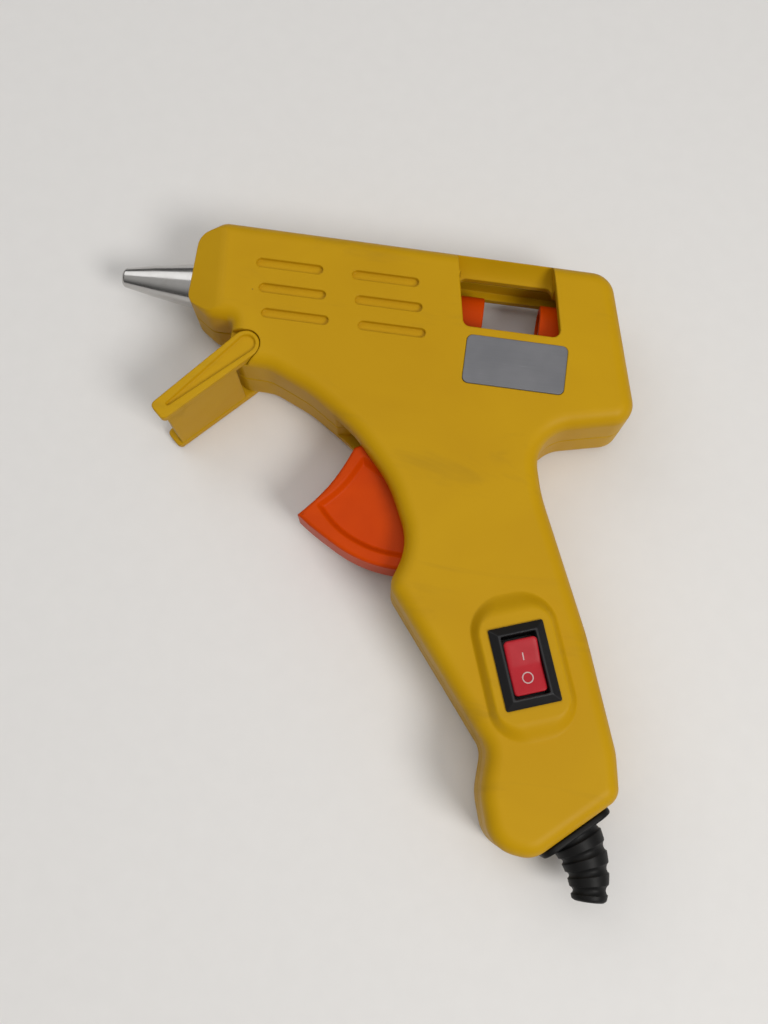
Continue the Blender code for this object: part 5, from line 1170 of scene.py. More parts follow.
def moulding(name, colour, second, rough, grain=0.0004, depth=0.00002, shine=0.5):
    """A small moulded or extruded part in one colour with a second, paler tone on its edges, partly rubbed
    wear and partly painted highlight.
    """
    look = Finish(name)
    rubbed_and_highlit, soft = look.edges(0.00022)
    cloud = look.mask(look.noise(0.004, 3.0, 0.55, distortion=0.3), 0.38, 0.72)
    shade = look.blend(cloud * 0.5, colour, deeper(colour, 0.82))
    # Paler tone on the edges: partly rubbed wear, partly painted highlight.
    shade = look.blend(rubbed_and_highlit * 0.55, shade, second)
    fine = look.noise(grain, 2.0, 0.55)
    return look.finish(
        Base_Color=shade, Roughness=rough + cloud * 0.08 - rubbed_and_highlit * 0.05, Specular_IOR_Level=shine,
        Normal=look.bump(fine, depth, 0.5, soft),
    )


def plate_film():
    """Bare silver-grey film: a fine brushed sheen along the barrel and a few hairline scratches."""
    look = Finish("silver grey film")
    brushed = look.noise(0.00016, 2.0, 0.55, look.stretched(0.02, 1.0, 1.0))
    scratch = look.mask(look.noise(0.0009, 4.0, 0.7, look.stretched(0.05, 1.0, 1.0), 1.5), 0.66, 0.72)
    cloud = look.mask(look.noise(0.006, 2.0, 0.5), 0.35, 0.7)
    shade = look.blend(cloud, rgba(0.165, 0.166, 0.178), rgba(0.138, 0.140, 0.152))
    shade = look.blend(brushed * 0.30, shade, rgba(0.24, 0.243, 0.26))
    shade = look.blend(scratch * 0.35, shade, rgba(0.42, 0.43, 0.45))
    rubbed_and_highlit, soft = look.edges(0.0002)
    return look.finish(
        # Paler film on the edges: partly rubbed wear, partly painted highlight.
        Base_Color=look.blend(rubbed_and_highlit * 0.5, shade, rgba(0.45, 0.46, 0.48)), Metallic=0.35,
        Roughness=0.40 + brushed * 0.14 + scratch * 0.08, Normal=look.bump(brushed, 0.000008, 0.5, soft),
    )


finishes = {
    "housing": housing_plastic(),
    "orange_plastic": trigger_plastic(),
    "polished_metal": nozzle_metal(),
    "cast_aluminium": metal("cast aluminium", rgba(0.58, 0.58, 0.60), 0.42, 0.00045, 0.45),
    "zinc_steel": metal("zinc plated steel", rgba(0.56, 0.56, 0.58), 0.30, 0.00018, 0.30),
    "terminal_brass": metal("stamped brass", rgba(0.70, 0.50, 0.22), 0.32, 0.00025, 0.35),
    "heater_film": moulding("brown heater film", rgba(0.25, 0.095, 0.022), rgba(0.34, 0.16, 0.05), 0.34),
    "insulator": moulding(
        "pale insulator", rgba(0.62, 0.57, 0.46), rgba(0.74, 0.70, 0.60), 0.70, 0.0003, 0.00004,
    ),
    "silicone": moulding("red silicone", rgba(0.40, 0.045, 0.030), rgba(0.52, 0.10, 0.07), 0.52),
    "black_plastic": moulding(
        "black plastic", rgba(0.010, 0.010, 0.011), rgba(0.045, 0.045, 0.048), 0.34, shine=0.30,
    ),
    "red_plastic": moulding(
        "red plastic", rgba(0.440, 0.013, 0.022), rgba(0.54, 0.05, 0.06), 0.36, 0.0006, 0.00001, 0.16,
    ),
    "black_rubber": moulding(
        "black rubber", rgba(0.008, 0.008, 0.008), rgba(0.034, 0.034, 0.035), 0.46, 0.0003, 0.00003, 0.15,
    ),
    "white_wire": moulding("white wire", rgba(0.66, 0.66, 0.63), rgba(0.78, 0.78, 0.76), 0.44),
    "grey_wire": moulding("grey wire", rgba(0.16, 0.16, 0.17), rgba(0.26, 0.26, 0.27), 0.44),
    "silver_film": plate_film(),
}
mark_finish = moulding("pale mark", rgba(0.62, 0.42, 0.41), rgba(0.72, 0.55, 0.54), 0.40)


# Repeats made by geometry nodes
def repeat_tree(name, inputs, build):
    """A geometry tree with named inputs; build gives the instances from a maker and the inputs' values."""
    tree = bpy.data.node_groups.new(name, "GeometryNodeTree")
    tree.interface.new_socket("Shape", in_out="INPUT", socket_type="NodeSocketGeometry")
    for label, kind in inputs:
        tree.interface.new_socket(label, in_out="INPUT", socket_type=f"NodeSocket{kind}")
    tree.interface.new_socket("Material", in_out="INPUT", socket_type="NodeSocketMaterial")
    tree.interface.new_socket("Shape", in_out="OUTPUT", socket_type="NodeSocketGeometry")
    maker = Maker(tree)
    start = tree.nodes.new("NodeGroupInput")
    given = {socket.name: Value(maker, socket) for socket in start.outputs if socket.name}
    real = maker.node("GeometryNodeRealizeInstances", values={"Geometry": build(maker, given)})
    clad = maker.node("GeometryNodeSetMaterial", values={"Geometry": real, "Material": given["Material"]})
    end = tree.nodes.new("NodeGroupOutput")
    tree.links.new(clad.socket, end.inputs[0])
    return tree


def rows_and_columns(maker, given):
    """Copies in rows and columns that lean, centred on the shape's own place."""
    count = given["Columns"] * given["Rows"]
    points = maker.node("GeometryNodePoints", values={"Count": count})
    index = maker.node("GeometryNodeInputIndex")
    column = index.math("FLOOR", index / given["Rows"])
    row = index - column * given["Rows"]
    across = column - (given["Columns"] - 1.0) / 2.0
    down = row - (given["Rows"] - 1.0) / 2.0
    place = maker.node("ShaderNodeCombineXYZ", values={
        0: across * given["Pitch along"] + down * given["Lean"], 1: 0.0 - down * given["Pitch down"],
    })
    placed = maker.node("GeometryNodeSetPosition", values={"Geometry": points, "Position": place})
    return maker.node("GeometryNodeInstanceOnPoints", values={"Points": placed, "Instance": given["Shape"]})


def at_places(maker, given):
    """A copy at each vertex of another object, each turned a little further than the last."""
    places = maker.node("GeometryNodeObjectInfo", values={"Object": given["Places"]}, output="Geometry")
    index = maker.node("GeometryNodeInputIndex")
    turn = maker.node("ShaderNodeCombineXYZ", values={2: index * given["Turn step"]})
    turned_on = maker.node("FunctionNodeEulerToRotation", values={0: turn})
    return maker.node("GeometryNodeInstanceOnPoints", values={
        "Points": places, "Instance": given["Shape"], "Rotation": turned_on,
    })


def repeated(shape, tree, values, material):
    """The shape repeated by a tree, as a bmesh."""
    item = loose_object("repeat", shape)
    modifier = item.modifiers.new("repeat", "NODES")
    modifier.node_group = tree
    values = dict(values, Material=material)
    for socket in tree.interface.items_tree:
        if socket.in_out == "INPUT" and socket.name in values:
            modifier[socket.identifier] = values[socket.name]
    return settled(item)


groove_tree = repeat_tree("rows and columns", (
    ("Columns", "Int"), ("Rows", "Int"), ("Pitch along", "Float"), ("Pitch down", "Float"),
    ("Lean", "Float"),
), rows_and_columns)
screw_tree = repeat_tree("screws at places", (("Places", "Object"), ("Turn step", "Float")), at_places)


def grooves(side):
    """Cutters for the blind grooves on the barrel's side, each with a rounded floor edge and mouth."""
    corners = rectangle_corners(GROOVE_LENGTH, GROOVE_WIDTH, GROOVE_WIDTH / 2 * FULL_ROUND)
    lip, bend = GROOVE_LIP, GROOVE_LIP * GROOVE_BEND_SHARE
    floor, face = HALF_THICKNESS - GROOVE_DEPTH, HALF_THICKNESS
    cutter = stacked(corners, (
        (lip, floor), (bend, floor + bend), (0.0, floor + lip), (0.0, face - lip), (-bend, face - bend),
        (-lip, face), (-lip, face + OVERRUN),
    ), COARSE_STEP_DEG)
    cutter = repeated(cutter, groove_tree, {
        "Columns": GROOVE_COLUMNS, "Rows": GROOVE_ROWS, "Pitch along": GROOVE_PITCH_ALONG,
        "Pitch down": GROOVE_PITCH_DOWN, "Lean": GROOVE_LEAN,
    }, finishes["housing"])
    middle = barrel_point(*GROOVE_CENTRE_SHARE)
    return mirrored(moved(cutter, (middle.x, middle.y, 0)), side)


def screw_with_cross():
    """A domed screw pointing up from its head's underside at zero, with a tapering cross recess."""
    head, height, shank = SCREW_HEAD_RADIUS, SCREW_HEAD_HEIGHT, SCREW_SHANK_RADIUS
    rim = height / 3
    profile = [(SCREW_LENGTH, 0.0), (SCREW_LENGTH - shank, shank), (0.0, shank), (0.0, head), (-rim, head)]
    for step in range(1, DOME_STEPS + 1):
        angle = math.radians(90 * step / DOME_STEPS)
        across = DOME_FLAT + (1 - DOME_FLAT) * math.cos(angle)
        profile.append((-rim - height * 2 / 3 * math.sin(angle), head * across))
    profile.append((-height, 0.0))
    body = moved(turned(profile[::-1], SIDES_MEDIUM), turn=X_TO_Z)
    corners = rectangle_corners(2 * head * SCREW_SLOT_SHARE, SCREW_SLOT_WIDTH, GAP / 3)
    floor = -height + SCREW_SLOT_DEPTH
    levels = ((0.0, -height - OVERRUN), (0.0, -height), (SCREW_SLOT_WIDTH / 4, floor))
    arms = []
    for quarter in (0, 1):
        turn = Matrix.Rotation(math.pi / 2 * quarter, 4, "Z")
        arms.append(moved(stacked(corners, levels, SLOT_STEP_DEG), turn=turn))
    return carved(body, cut(*arms))


def housing_screws():
    places = bpy.data.meshes.new("screw places")
    underside = -HALF_THICKNESS + SCREW_SINK + SCREW_HEAD_HEIGHT - GAP
    places.from_pydata([(p.x, p.y, underside) for p in SCREW_PLACES.values()], [], [])
    marker = linked("screw places", places)
    values = {"Places": marker, "Turn step": math.radians(SCREW_TURN_DEG)}
    shape = repeated(screw_with_cross(), screw_tree, values, finishes["zinc_steel"])
    bpy.data.objects.remove(marker)
    nodes = [f"housing_screw_{name}" for name in SCREW_PLACES]
    piece("housing_screws", shape, "housing", "zinc_steel", nodes)


# Small forms
def grown(points, distance):
    """A closed anticlockwise outline moved outwards by a distance, or inwards by a negative one."""
    outline = []
    for point, back, after in with_neighbours(points):
        normal_before = Vector((-back.y, back.x)).normalized()
        normal_after = Vector((after.y, -after.x)).normalized()
        middle = (normal_before + normal_after).normalized()
        outline.append(point + middle * distance / middle.dot(normal_after))
    return outline


def edged_prism(points, low, high, bevel, foot_too=True):
    """A prism whose top edge, and bottom edge too, is rounded."""
    edge = quarter_round(bevel, SMALL_STEPS)
    foot = [(draw, low + drop) for draw, drop in edge[::-1]] if foot_too else [(0.0, low)]
    levels = foot + [(draw, high - drop) for draw, drop in edge]
    return layered([raised(grown(points, -inset), height) for inset, height in levels])


def sunken_fields(corners, half, depth, slope):
    """Cutters for a shallow field in each face, whose sloping walls meet the floor in a small fillet."""
    shares = [step / SUNKEN_STEPS for step in range(SUNKEN_STEPS + 1)]
    levels = [(slope * (1 - share), half - depth + depth * eased(share)) for share in shares]
    levels.append((0.0, half + OVERRUN))
    below = [(inset, -height) for inset, height in levels[::-1]]
    return [stacked(corners, levels), stacked(corners, below)]


def nozzle():
    """The turned cone with its small rounded tip, a flange and the threaded shank inside."""
    tip_round = NOZZLE_TIP_RADIUS / 4
    flange_end = BARREL_START - GAP
    shank_end = BARREL_START + NOZZLE_SHANK_LENGTH
    wide_bore = NOZZLE_BORE_RADIUS * 2
    profile = [
        (0.0, NOZZLE_BORE_RADIUS), (0.0, NOZZLE_TIP_RADIUS - tip_round), (tip_round, NOZZLE_TIP_RADIUS),
        (NOZZLE_REACH * NOZZLE_MID_SHARE, NOZZLE_MID_RADIUS), (NOZZLE_REACH - GAP, NOZZLE_BASE_RADIUS),
        (flange_end, NOZZLE_BASE_RADIUS), (flange_end, NOZZLE_SHANK_RADIUS),
        (shank_end, NOZZLE_SHANK_RADIUS),
        (shank_end, wide_bore), (FLANGE_START, wide_bore), (NOZZLE_REACH / 2, NOZZLE_BORE_RADIUS),
    ]
    shape = turned(softened(profile, GAP), SIDES_FINE)
    piece("nozzle_turned", shape, "housing", "polished_metal", ("nozzle",))


def carriage():
    """The sliding carriage: a base, two plates, the fork for the trigger's arm and the gripper's ears."""
    front, rear, fork = carriage_places()
    base_top = -CARRIAGE_BASE_DROP
    base_low = base_top - CARRIAGE_BASE_HEIGHT
    fork_half = TRIGGER_TIP_RADIUS + GAP
    fork_front = fork - fork_half - FORK_WALL
    fork_low = base_low - FORK_DROP
    half = CARRIAGE_PLATE_WIDTH / 2
    arch = [Vector((-half, base_low + GAP)), Vector((half, base_low + GAP))]
    arch += arc(Vector((0, 0)), half, 0, 180, SIDES_SMALL)
    arch = [Vector((-p.x, p.y)) for p in arch[::-1]]
    plates = []
    for low, high in ((front, front + CARRIAGE_PLATE_FRONT), (rear - CARRIAGE_PLATE_REAR, rear)):
        plates.append(moved(edged_prism(arch, low, high, GAP), turn=Z_TO_X))
    lug = box(fork_front, fork_low, fork + fork_half + FORK_WALL, base_top - GAP)
    opening = box(fork - fork_half, fork_low - OVERRUN, fork + fork_half, base_low)
    along = front + CARRIAGE_PLATE_FRONT + GRIPPER_HUB_RADIUS + 2 * RUNNING_GAP
    pivot = Vector((along, base_top + GRIPPER_HUB_RADIUS + GAP))
    ear = arc(pivot, GRIPPER_HUB_RADIUS, 0, 180, EAR_STEPS)
    ear += [Vector((pivot.x + side * GRIPPER_HUB_RADIUS, base_top - GAP)) for side in (-1, 1)]
    inner = GRIPPER_WIDTH / 2 + GAP
    outer = inner + GRIPPER_EAR
    steps = join(*plates, prism(lug, -FORK_WIDTH / 2, FORK_WIDTH / 2))
    steps += join(prism(ear, inner, outer), prism(ear, -outer, -inner))
    steps += cut(
        cylinder_along_x(STICK_CLEAR_RADIUS, front - OVERRUN, rear + OVERRUN),
        prism(opening, -FORK_WIDTH, FORK_WIDTH),
        cylinder_up(GRIPPER_PIN_RADIUS + GAP, pivot, -outer - OVERRUN, outer + OVERRUN),
    )
    base_half = CARRIAGE_BASE_WIDTH / 2
    body = edged_prism(box(fork_front, base_low, rear, base_top), -base_half, base_half, GAP)
    piece("carriage_moulding", carved(body, steps), "carriage", "orange_plastic", ("feed_carriage",))


def round_trigger(share, angle_deg):
    """A point round the trigger's pivot, its distance a share of the pad's radius."""
    return TRIGGER_PIVOT + polar(TRIGGER_PAD_RADIUS * share, angle_deg)


def pad_outline():
    """The trigger's finger pad and its web up to the hub."""
    web_top_deg, web_low_deg = TRIGGER_WEB_DEG
    corner_share, corner_deg = PAD_CORNER
    corner, top = round_trigger(*PAD_CORNER), round_trigger(*PAD_TOP)
    points = [TRIGGER_PIVOT + polar(TRIGGER_HUB_RADIUS, web_top_deg), top]
    chord = corner - top
    aside = Vector((-chord.y, chord.x)).normalized()
    for step in range(1, PAD_FRONT_STEPS):
        share = step / PAD_FRONT_STEPS
        points.append(top + chord * share + aside * TRIGGER_RIM * PAD_BOW * math.sin(math.pi * share))
    points.append(corner)
    for step in range(1, PAD_LOW_STEPS + 1):
        share = step / PAD_LOW_STEPS
        fade = max(0.0, 1 - share * PAD_FADE) ** PAD_FADE_BEND
        angle = corner_deg + (PAD_HEEL_DEG - corner_deg) * share
        points.append(round_trigger(1.0 + (corner_share - 1.0) * fade, angle))
    points.append(TRIGGER_PIVOT + polar(TRIGGER_HUB_RADIUS, web_low_deg))
    return points


def pad_pocket():
    """The sunk field on each side of the pad, inside its rims: its corners, each with its radius."""
    corner, top = round_trigger(*PAD_CORNER), round_trigger(*PAD_TOP)
    corners = []
    for share, right, down, radius in POCKET_FRONT:
        place = top.lerp(corner, share) + Vector((right, -down)) * TRIGGER_RIM
        corners.append((place, radius))
    inward = (TRIGGER_PIVOT - corner).normalized()
    corners.append((corner + inward * TRIGGER_RIM * POCKET_CORNER_RIMS, POCKET_ROUND))
    reach = TRIGGER_PAD_RADIUS - TRIGGER_RIM
    last = POCKET_SWEEP_POINTS - 1
    for step in range(POCKET_SWEEP_POINTS):
        swell = 1.0 + POCKET_SWELL * (0 < step < last)
        place = TRIGGER_PIVOT + polar(reach * swell, POCKET_START_DEG + POCKET_STEP_DEG * step)
        corners.append((place, POCKET_ROUND if step == last else POCKET_SWEEP_ROUND))
    return corners + [(round_trigger(*place), POCKET_BACK_ROUND) for place in POCKET_BACK]


def trigger():
    half = TRIGGER_WIDTH / 2
    arm_half = TRIGGER_ARM_WIDTH / 2
    tip = TRIGGER_PIVOT + turned_by(Vector((0, TRIGGER_ARM_LENGTH)), -HALF_TRAVEL)
    arm = teardrop(TRIGGER_PIVOT, TRIGGER_HUB_RADIUS * TRIGGER_ARM_SHARE, tip, TRIGGER_NECK_RADIUS)
    steps = join(
        cylinder_up(TRIGGER_HUB_RADIUS, TRIGGER_PIVOT, -half, half), prism(arm, -arm_half, arm_half),
        cylinder_up(TRIGGER_TIP_RADIUS, tip, -arm_half + GAP / 2, arm_half - GAP / 2),
        cylinder_up(SPRING_POST_RADIUS, SPRING_PEG, 0, SPRING_LEVEL + SPRING_COIL_RADIUS / 2),
    )
    steps += cut(
        *sunken_fields(pad_pocket(), half, TRIGGER_POCKET_DEPTH, TRIGGER_RIM * POCKET_SLOPE),
        cylinder_up(TRIGGER_PIN_RADIUS + GAP, TRIGGER_PIVOT, -half - OVERRUN, half + OVERRUN),
    )
    body = edged_prism(pad_outline(), -half, half, TRIGGER_RIM * TRIGGER_EDGE_SHARE)
    piece("trigger_moulding", carved(body, steps), "trigger", "orange_plastic", ("trigger",))


def stand():
    """The fold-out stand: two arms joined by a plate behind them."""
    aside = Vector((-STAND_HEADING.y, STAND_HEADING.x))
    behind = aside if aside.x > 0 else -aside
    face = HALF_THICKNESS - STAND_FACE_DROP
    bevel = STAND_FACE_DROP * 1.5

    def at(along, across, direction=aside):
        return STAND_PIVOT + STAND_HEADING * along + direction * across

    back = arc(STAND_PIVOT, STAND_PIVOT_RADIUS, STAND_ANGLE_DEG + 90, 180, SIDES_SMALL)
    corners = [(place, 0.0) for place in back]
    for side in (-1, 1):
        corners.append((at(STAND_LENGTH, side * STAND_TAIL_RADIUS), STAND_TAIL_RADIUS / 2))
    arm = rounded(corners, STAND_STEP_DEG)
    web_end = STAND_LENGTH - STAND_TAIL_RADIUS / 2
    outer_start = STAND_PIVOT_RADIUS + (STAND_TAIL_RADIUS - STAND_PIVOT_RADIUS) * STAND_WEB_START / web_end
    web = [
        at(STAND_WEB_START, outer_start - GAP / 2, behind),
        at(STAND_WEB_START, outer_start - STAND_WEB_THICKNESS, behind),
        at(web_end, STAND_TAIL_RADIUS - STAND_WEB_THICKNESS, behind),
        at(web_end, STAND_TAIL_RADIUS - GAP / 2, behind),
    ]
    blunt = STAND_TAIL_RADIUS * STAND_POCKET_BLUNT
    wide = STAND_PIVOT_RADIUS * STAND_POCKET_WIDE
    point = STAND_LENGTH - STAND_TAIL_RADIUS * STAND_POCKET_POINT
    pocket = [(at(-wide, side * wide), wide * FULL_ROUND) for side in (1, -1)]
    pocket += [(at(point, side * blunt), blunt) for side in (-1, 1)]
    slope = STAND_TAIL_RADIUS * STAND_POCKET_SLOPE
    inner = face - STAND_ARM_THICKNESS / 2
    steps = join(prism(web, -inner, inner), edged_prism(arm, -face, STAND_ARM_THICKNESS - face, bevel))
    steps += cut(
        *sunken_fields(pocket, face, STAND_POCKET_DEPTH, slope),
        cylinder_up(STAND_PIN_RADIUS + GAP, STAND_PIVOT, -inner, inner),
    )
    body = edged_prism(arm, face - STAND_ARM_THICKNESS, face, bevel)
    piece("stand_moulding", carved(body, steps), "stand", "housing", ("stand",))


def crest(along):
    """Height of the rocker's face over its pivot: a shallow V with a soft crease."""
    high = ROCKER_CREST / 2 + ROCKER_SINK
    return high - ROCKER_DIP * (1 - math.hypot(2 * along / ROCKER_LENGTH, ROCKER_CREASE)) * ROCKER_DIP_SHARE


def keel(along):
    """Height of the rocker's underside, lowest in the middle."""
    return -ROCKER_CREST * (1 - abs(along) / ROCKER_LENGTH)


def rocker_outline(inset):
    """The rocker's plan with rounded corners, moved inwards, its straight sides cut into short steps."""
    corners = inset_corners(rectangle_corners(ROCKER_LENGTH, ROCKER_WIDTH, ROCKER_CORNER), inset)
    points = rounded(corners)
    outline = []
    for index, point in enumerate(points):
        outline.append(point)
        if (index + 1) % (len(points) // 4) == 0:
            following = points[(index + 1) % len(points)]
            outline += [point.lerp(following, step / ROCKER_STEPS) for step in range(1, ROCKER_STEPS)]
    return outline


def rocker_body():
    """The rocker: a creased face with rounded edges over a keel that is a little shorter."""
    middle = ROCKER_WIDTH / 2 - GAP / 10
    shorter = 1 - 2 * ROCKER_DIP / ROCKER_LENGTH
    rings = []
    for inset in (middle, ROCKER_EDGE):
        rings.append([Vector((p.x * shorter, p.y, keel(p.x))) for p in rocker_outline(inset)])
    levels = quarter_round(ROCKER_EDGE, SMALL_STEPS)
    levels += [(ROCKER_EDGE + (middle - ROCKER_EDGE) * step / 4, 0.0) for step in range(1, 5)]
    for inset, drop in levels:
        rings.append([Vector((p.x, p.y, crest(p.x) - drop)) for p in rocker_outline(inset)])
    shape = layered(rings)
    # The innermost rings are slits that close to a line along the middle
    for cap in [face for face in shape.faces if len(face.verts) > 4]:
        shape.faces.remove(cap)
    for vert in shape.verts:
        if abs(vert.co.y) < GAP / 5:
            vert.co.y = 0
    bmesh.ops.remove_doubles(shape, verts=shape.verts[:], dist=GAP / 30)
    bmesh.ops.recalc_face_normals(shape, faces=shape.faces[:])
    return shape


def switch_case(pad, top, well):
    """The switch's case with its bevelled frame, open above the rocker and slotted for the terminals."""
    bevel = SWITCH_FRAME_HEIGHT * SWITCH_FRAME_BEVEL
    slope = SWITCH_FRAME_WALL * SWITCH_FRAME_SLOPE
    corners = rectangle_corners(SWITCH_LENGTH, SWITCH_WIDTH, SWITCH_FRAME_WALL / 5)
    levels = [(0.0, pad + GAP)]
    levels += [(slope * inwards, top - bevel * down) for inwards, down in SWITCH_FRAME_PROFILE]
    rim = stacked(corners, levels, COARSE_STEP_DEG)
    floor = pad + GAP - SWITCH_BODY_DEPTH
    body = rectangle(SWITCH_LENGTH - 2 * SWITCH_BODY_INSET, SWITCH_WIDTH - 2 * SWITCH_BODY_INSET)
    length, width = SWITCH_LENGTH - 2 * SWITCH_FRAME_WALL, SWITCH_WIDTH - 2 * SWITCH_FRAME_WALL - GAP
    hollow = stacked(rectangle_corners(length, width, GAP), (
        (0.0, well), (0.0, top - GAP / 2), (-GAP / 2, top), (-GAP / 2, top + OVERRUN),
    ), COARSE_STEP_DEG)
    slots = []
    for side in (-1, 1):
        middle = Vector((side * TERMINAL_SLOT_PLACE, 0))
        outline = rectangle(TERMINAL_SLOT_LENGTH, TERMINAL_SLOT_WIDTH, 0.0, middle)
        slots.append(prism(outline, floor - OVERRUN, well + OVERRUN))
    return carved(rim, join(prism(body, floor, pad + 2 * GAP)) + cut(hollow, merged(slots)))


def rocker_marks():
    """The bar and the ring on the rocker's face, standing a hair proud of it."""
    lifts = (-MARK_PROUD * 3, MARK_PROUD)
    line = rectangle(BAR_LENGTH, MARK_STROKE, 0.0, Vector((-BAR_PLACE, 0)))
    bar = layered([[Vector((p.x, p.y, crest(p.x) + lift)) for p in line] for lift in lifts])
    ring = bmesh.new()
    loops = []
    for radius, lift in ((RING_RADIUS, lifts[0]), (RING_RADIUS, lifts[1]),
                         (RING_RADIUS - MARK_STROKE, lifts[1]), (RING_RADIUS - MARK_STROKE, lifts[0])):
        points = circle(radius, RING_SIDES, Vector((RING_PLACE, 0)))
        loops.append([ring.verts.new((p.x, p.y, crest(p.x) + lift)) for p in points])
    for index, loop in enumerate(loops):
        other = loops[(index + 1) % len(loops)]
        for step in range(RING_SIDES):
            following = (step + 1) % RING_SIDES
            ring.faces.new((loop[step], loop[following], other[following], other[step]))
    bmesh.ops.recalc_face_normals(ring, faces=ring.faces[:])
    return merged([bar, ring])


def switch():
    """Switch case with its bevelled frame, the rocker, and the two plain marks on it."""
    pad = HALF_THICKNESS + SWITCH_PAD_HEIGHT
    top = pad + SWITCH_FRAME_HEIGHT
    hinge = top - ROCKER_SINK - ROCKER_CREST / 2
    tilt_drop = ROCKER_LENGTH / 2 * math.sin(math.radians(ROCKER_TILT_DEG))
    well = hinge - ROCKER_CREST - RUNNING_GAP - tilt_drop
    turn = Matrix.Rotation(math.radians(SWITCH_LEAN_DEG - 90), 4, "Z")
    tilted = turn @ Matrix.Rotation(math.radians(ROCKER_TILT_DEG), 4, "Y")
    place = Vector((SWITCH_CENTRE.x, SWITCH_CENTRE.y, 0))
    origin = Vector((SWITCH_CENTRE.x, SWITCH_CENTRE.y, hinge))
    case = moved(switch_case(pad, top, well), place, turn)
    piece("switch_frame", case, "housing", "black_plastic", ("switch_case",))
    piece("rocker", moved(rocker_body(), origin, tilted), "rocker", "red_plastic", ("switch_rocker",))
    marks = moved(rocker_marks(), origin, tilted)
    piece("rocker_marks", marks, "rocker", "red_plastic", finish=mark_finish)


def side_plate():
    low = HALF_THICKNESS - LABEL_RECESS + GAP
    shape = edged_prism(label_outline(), low, low + LABEL_THICKNESS, LABEL_THICKNESS / 4, foot_too=False)
    piece("plain_plate", shape, "housing", "silver_film", ("side_plate",))


def boot_ring(share, reach, slide=0.0):
    """A ring of points round the boot's bent middle line."""
    bend = math.radians(BOOT_BEND_DEG)
    angle = CORD_HEADING - bend * share
    forward = Vector((math.cos(angle), math.sin(angle)))
    sideways = Vector((-forward.y, forward.x))
    middle = CORD_CENTRE + (sideways + CORD_ALONG) * BOOT_LENGTH / bend
    middle += forward * (BOOT_FLANGE_THICKNESS / 2 + slide)
    return [Vector((*(middle + sideways * p.x), p.y)) for p in circle(reach, SIDES_MEDIUM)]


def cord_boot():
    """The rubber boot: rounded ribs between grooves, its flange outside and its collar in the butt."""
    outline = rectangle(BOOT_FLANGE_WIDTH, BOOT_FLANGE_LENGTH, BOOT_FLANGE_WIDTH / 4)
    flange = edged_prism(outline, GAP, GAP + BOOT_FLANGE_THICKNESS, BOOT_FLANGE_THICKNESS / 3)
    collar = -WALL - GAP
    inner = collar - BOOT_INNER_FLANGE
    neck = turned([
        (inner, 0.0), (inner, BOOT_INNER_FLANGE_RADIUS), (collar, BOOT_INNER_FLANGE_RADIUS),
        (collar, BOOT_NECK_RADIUS), (2 * GAP, BOOT_NECK_RADIUS), (2 * GAP, 0.0),
    ], SIDES_MEDIUM)
    steps = BOOT_RIBS * BOOT_RIB_STEPS
    rings = []
    for step in range(steps + 1):
        share = step / steps
        reach = BOOT_ROOT_RADIUS - BOOT_TRIM + (BOOT_END_RADIUS - BOOT_ROOT_RADIUS) * share
        phase = (step % BOOT_RIB_STEPS) / BOOT_RIB_STEPS
        groove = max(0.0, math.cos((phase - BOOT_GROOVE_PHASE) * math.tau)) ** BOOT_GROOVE_BEND
        end_round = max(0.0, (share - BOOT_END_SHARE) / (1 - BOOT_END_SHARE)) ** 2
        if step < steps:
            reach -= BOOT_GROOVE_DEPTH * groove
        rings.append(boot_ring(share, reach - BOOT_GROOVE_DEPTH * end_round))
    bore = [boot_ring(0.0, BOOT_BORE_RADIUS, inner - OVERRUN)]
    bore += [boot_ring(step / BOOT_BORE_STEPS, BOOT_BORE_RADIUS) for step in range(BOOT_BORE_STEPS + 1)]
    bore.append(boot_ring(1.0, BOOT_BORE_RADIUS, OVERRUN))
    parts = join(on_cord(moved(flange, turn=Z_TO_X)), on_cord(neck))
    shape = carved(layered(rings), parts + cut(layered(bore)))
    piece("ribbed_boot", shape, "housing", "black_rubber", ("cord_boot",), sharp_deg=BOOT_SHARP_DEG)


# The applicator
shell(1)
shell(-1)
for make in (nozzle, carriage, trigger, stand, switch, side_plate, cord_boot, housing_screws):
    make()
slot_of = {entry["node"]: entry["material_slot"] for entry in frame["record"]["subparts"]}
for name, node in frame["nodes"].items():
    node.data.materials.clear()
    node.data.materials.append(finishes[slot_of[name]])


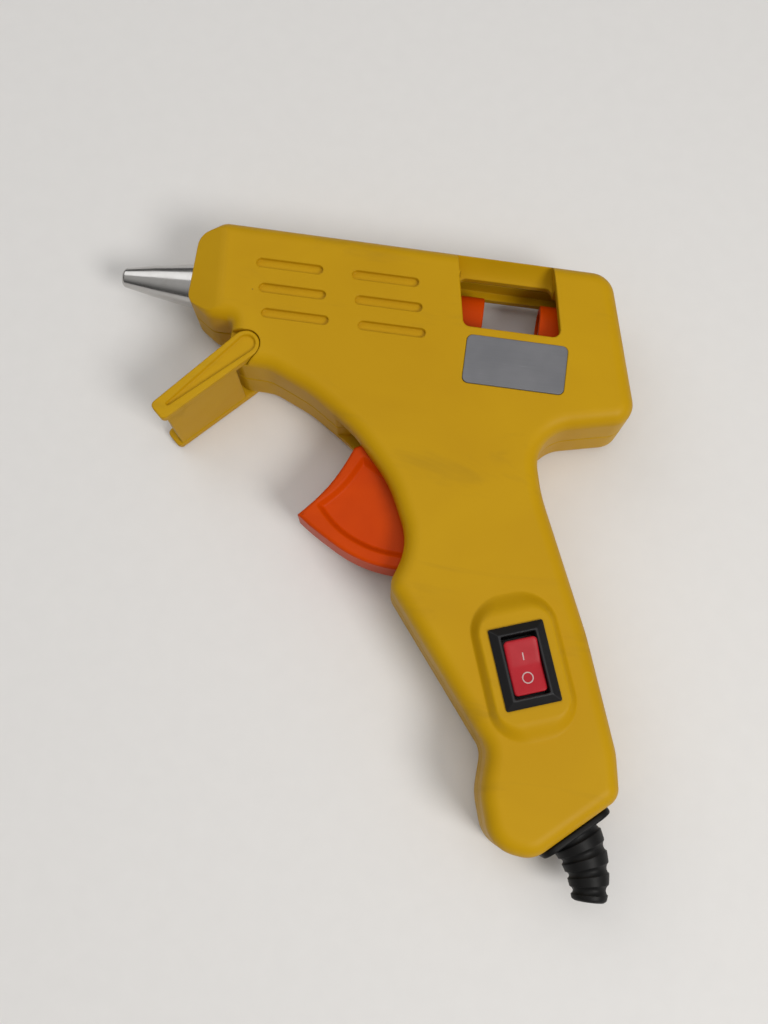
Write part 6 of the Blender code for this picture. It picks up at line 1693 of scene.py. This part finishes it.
# Floor, light and camera
def floor():
    mesh = bpy.data.meshes.new("floor")
    corners = box(-FLOOR_REACH, -FLOOR_REACH, FLOOR_REACH, FLOOR_REACH)
    mesh.from_pydata([(p.x, p.y, 0) for p in corners], [], [(0, 1, 2, 3)])
    made = linked("floor", mesh)
    made.location.z = -GAP / 3
    look = Finish("pale floor")
    tone = look.noise(0.004, 3.0, 0.5)
    shade = look.blend(tone, rgba(0.74, 0.73, 0.72), rgba(0.77, 0.76, 0.75))
    mesh.materials.append(look.finish(Base_Color=shade, Roughness=0.75))


def lamp(name, place, size, power, colour):
    """A round soft lamp that looks at the middle."""
    light = bpy.data.lights.new(name, "AREA")
    light.shape = "DISK"
    light.size = size
    light.energy = power
    light.color = colour
    made = linked(name, light)
    made.location = place
    made.rotation_euler = (-Vector(place)).to_track_quat("-Z", "Y").to_euler()


def world_light():
    """A plain studio dome, dimmer towards the horizon so that bright metal has something to mirror."""
    world = bpy.data.worlds.new("studio")
    world.use_nodes = True
    maker = Maker(world.node_tree)
    shade = world.node_tree.nodes["Background"]
    shade.inputs[0].default_value = rgba(1.0, 0.985, 0.96)
    place = maker.node("ShaderNodeTexCoord", output="Generated")
    height = maker.node("ShaderNodeSeparateXYZ", values={0: place}, output="Z")
    band = dict(zip(("From Min", "From Max", "To Min", "To Max"), DOME_BAND + DOME_STRENGTH), Value=height)
    rise = maker.node("ShaderNodeMapRange", {"interpolation_type": "SMOOTHSTEP"}, band)
    seen = maker.node("ShaderNodeLightPath", output="Is Camera Ray")
    strength = rise + seen * (BACKGROUND - rise)
    world.node_tree.links.new(strength.socket, shade.inputs[1])
    bpy.context.scene.world = world


def photo_camera():
    tilt = math.radians(CAMERA_TILT_DEG)
    ahead = (CAMERA_AIM - CAMERA_PLACE).normalized()
    up = Vector((-math.sin(tilt), math.cos(tilt), 0.0))
    right = ahead.cross(up).normalized()
    up = right.cross(ahead)
    data = bpy.data.cameras.new("photo camera")
    data.lens = CAMERA_LENS
    data.sensor_width = CAMERA_SENSOR
    data.sensor_fit = "AUTO"
    data.clip_start = CAMERA_CLIP
    made = linked("photo camera", data)
    turn = Matrix((right, up, -ahead)).transposed().to_4x4()
    made.matrix_world = Matrix.Translation(SHIFT + CAMERA_PLACE) @ turn
    bpy.context.scene.camera = made


floor()
for settings in LAMPS:
    lamp(*settings)
world_light()
photo_camera()
bpy.context.scene.view_settings.view_transform = "Standard"
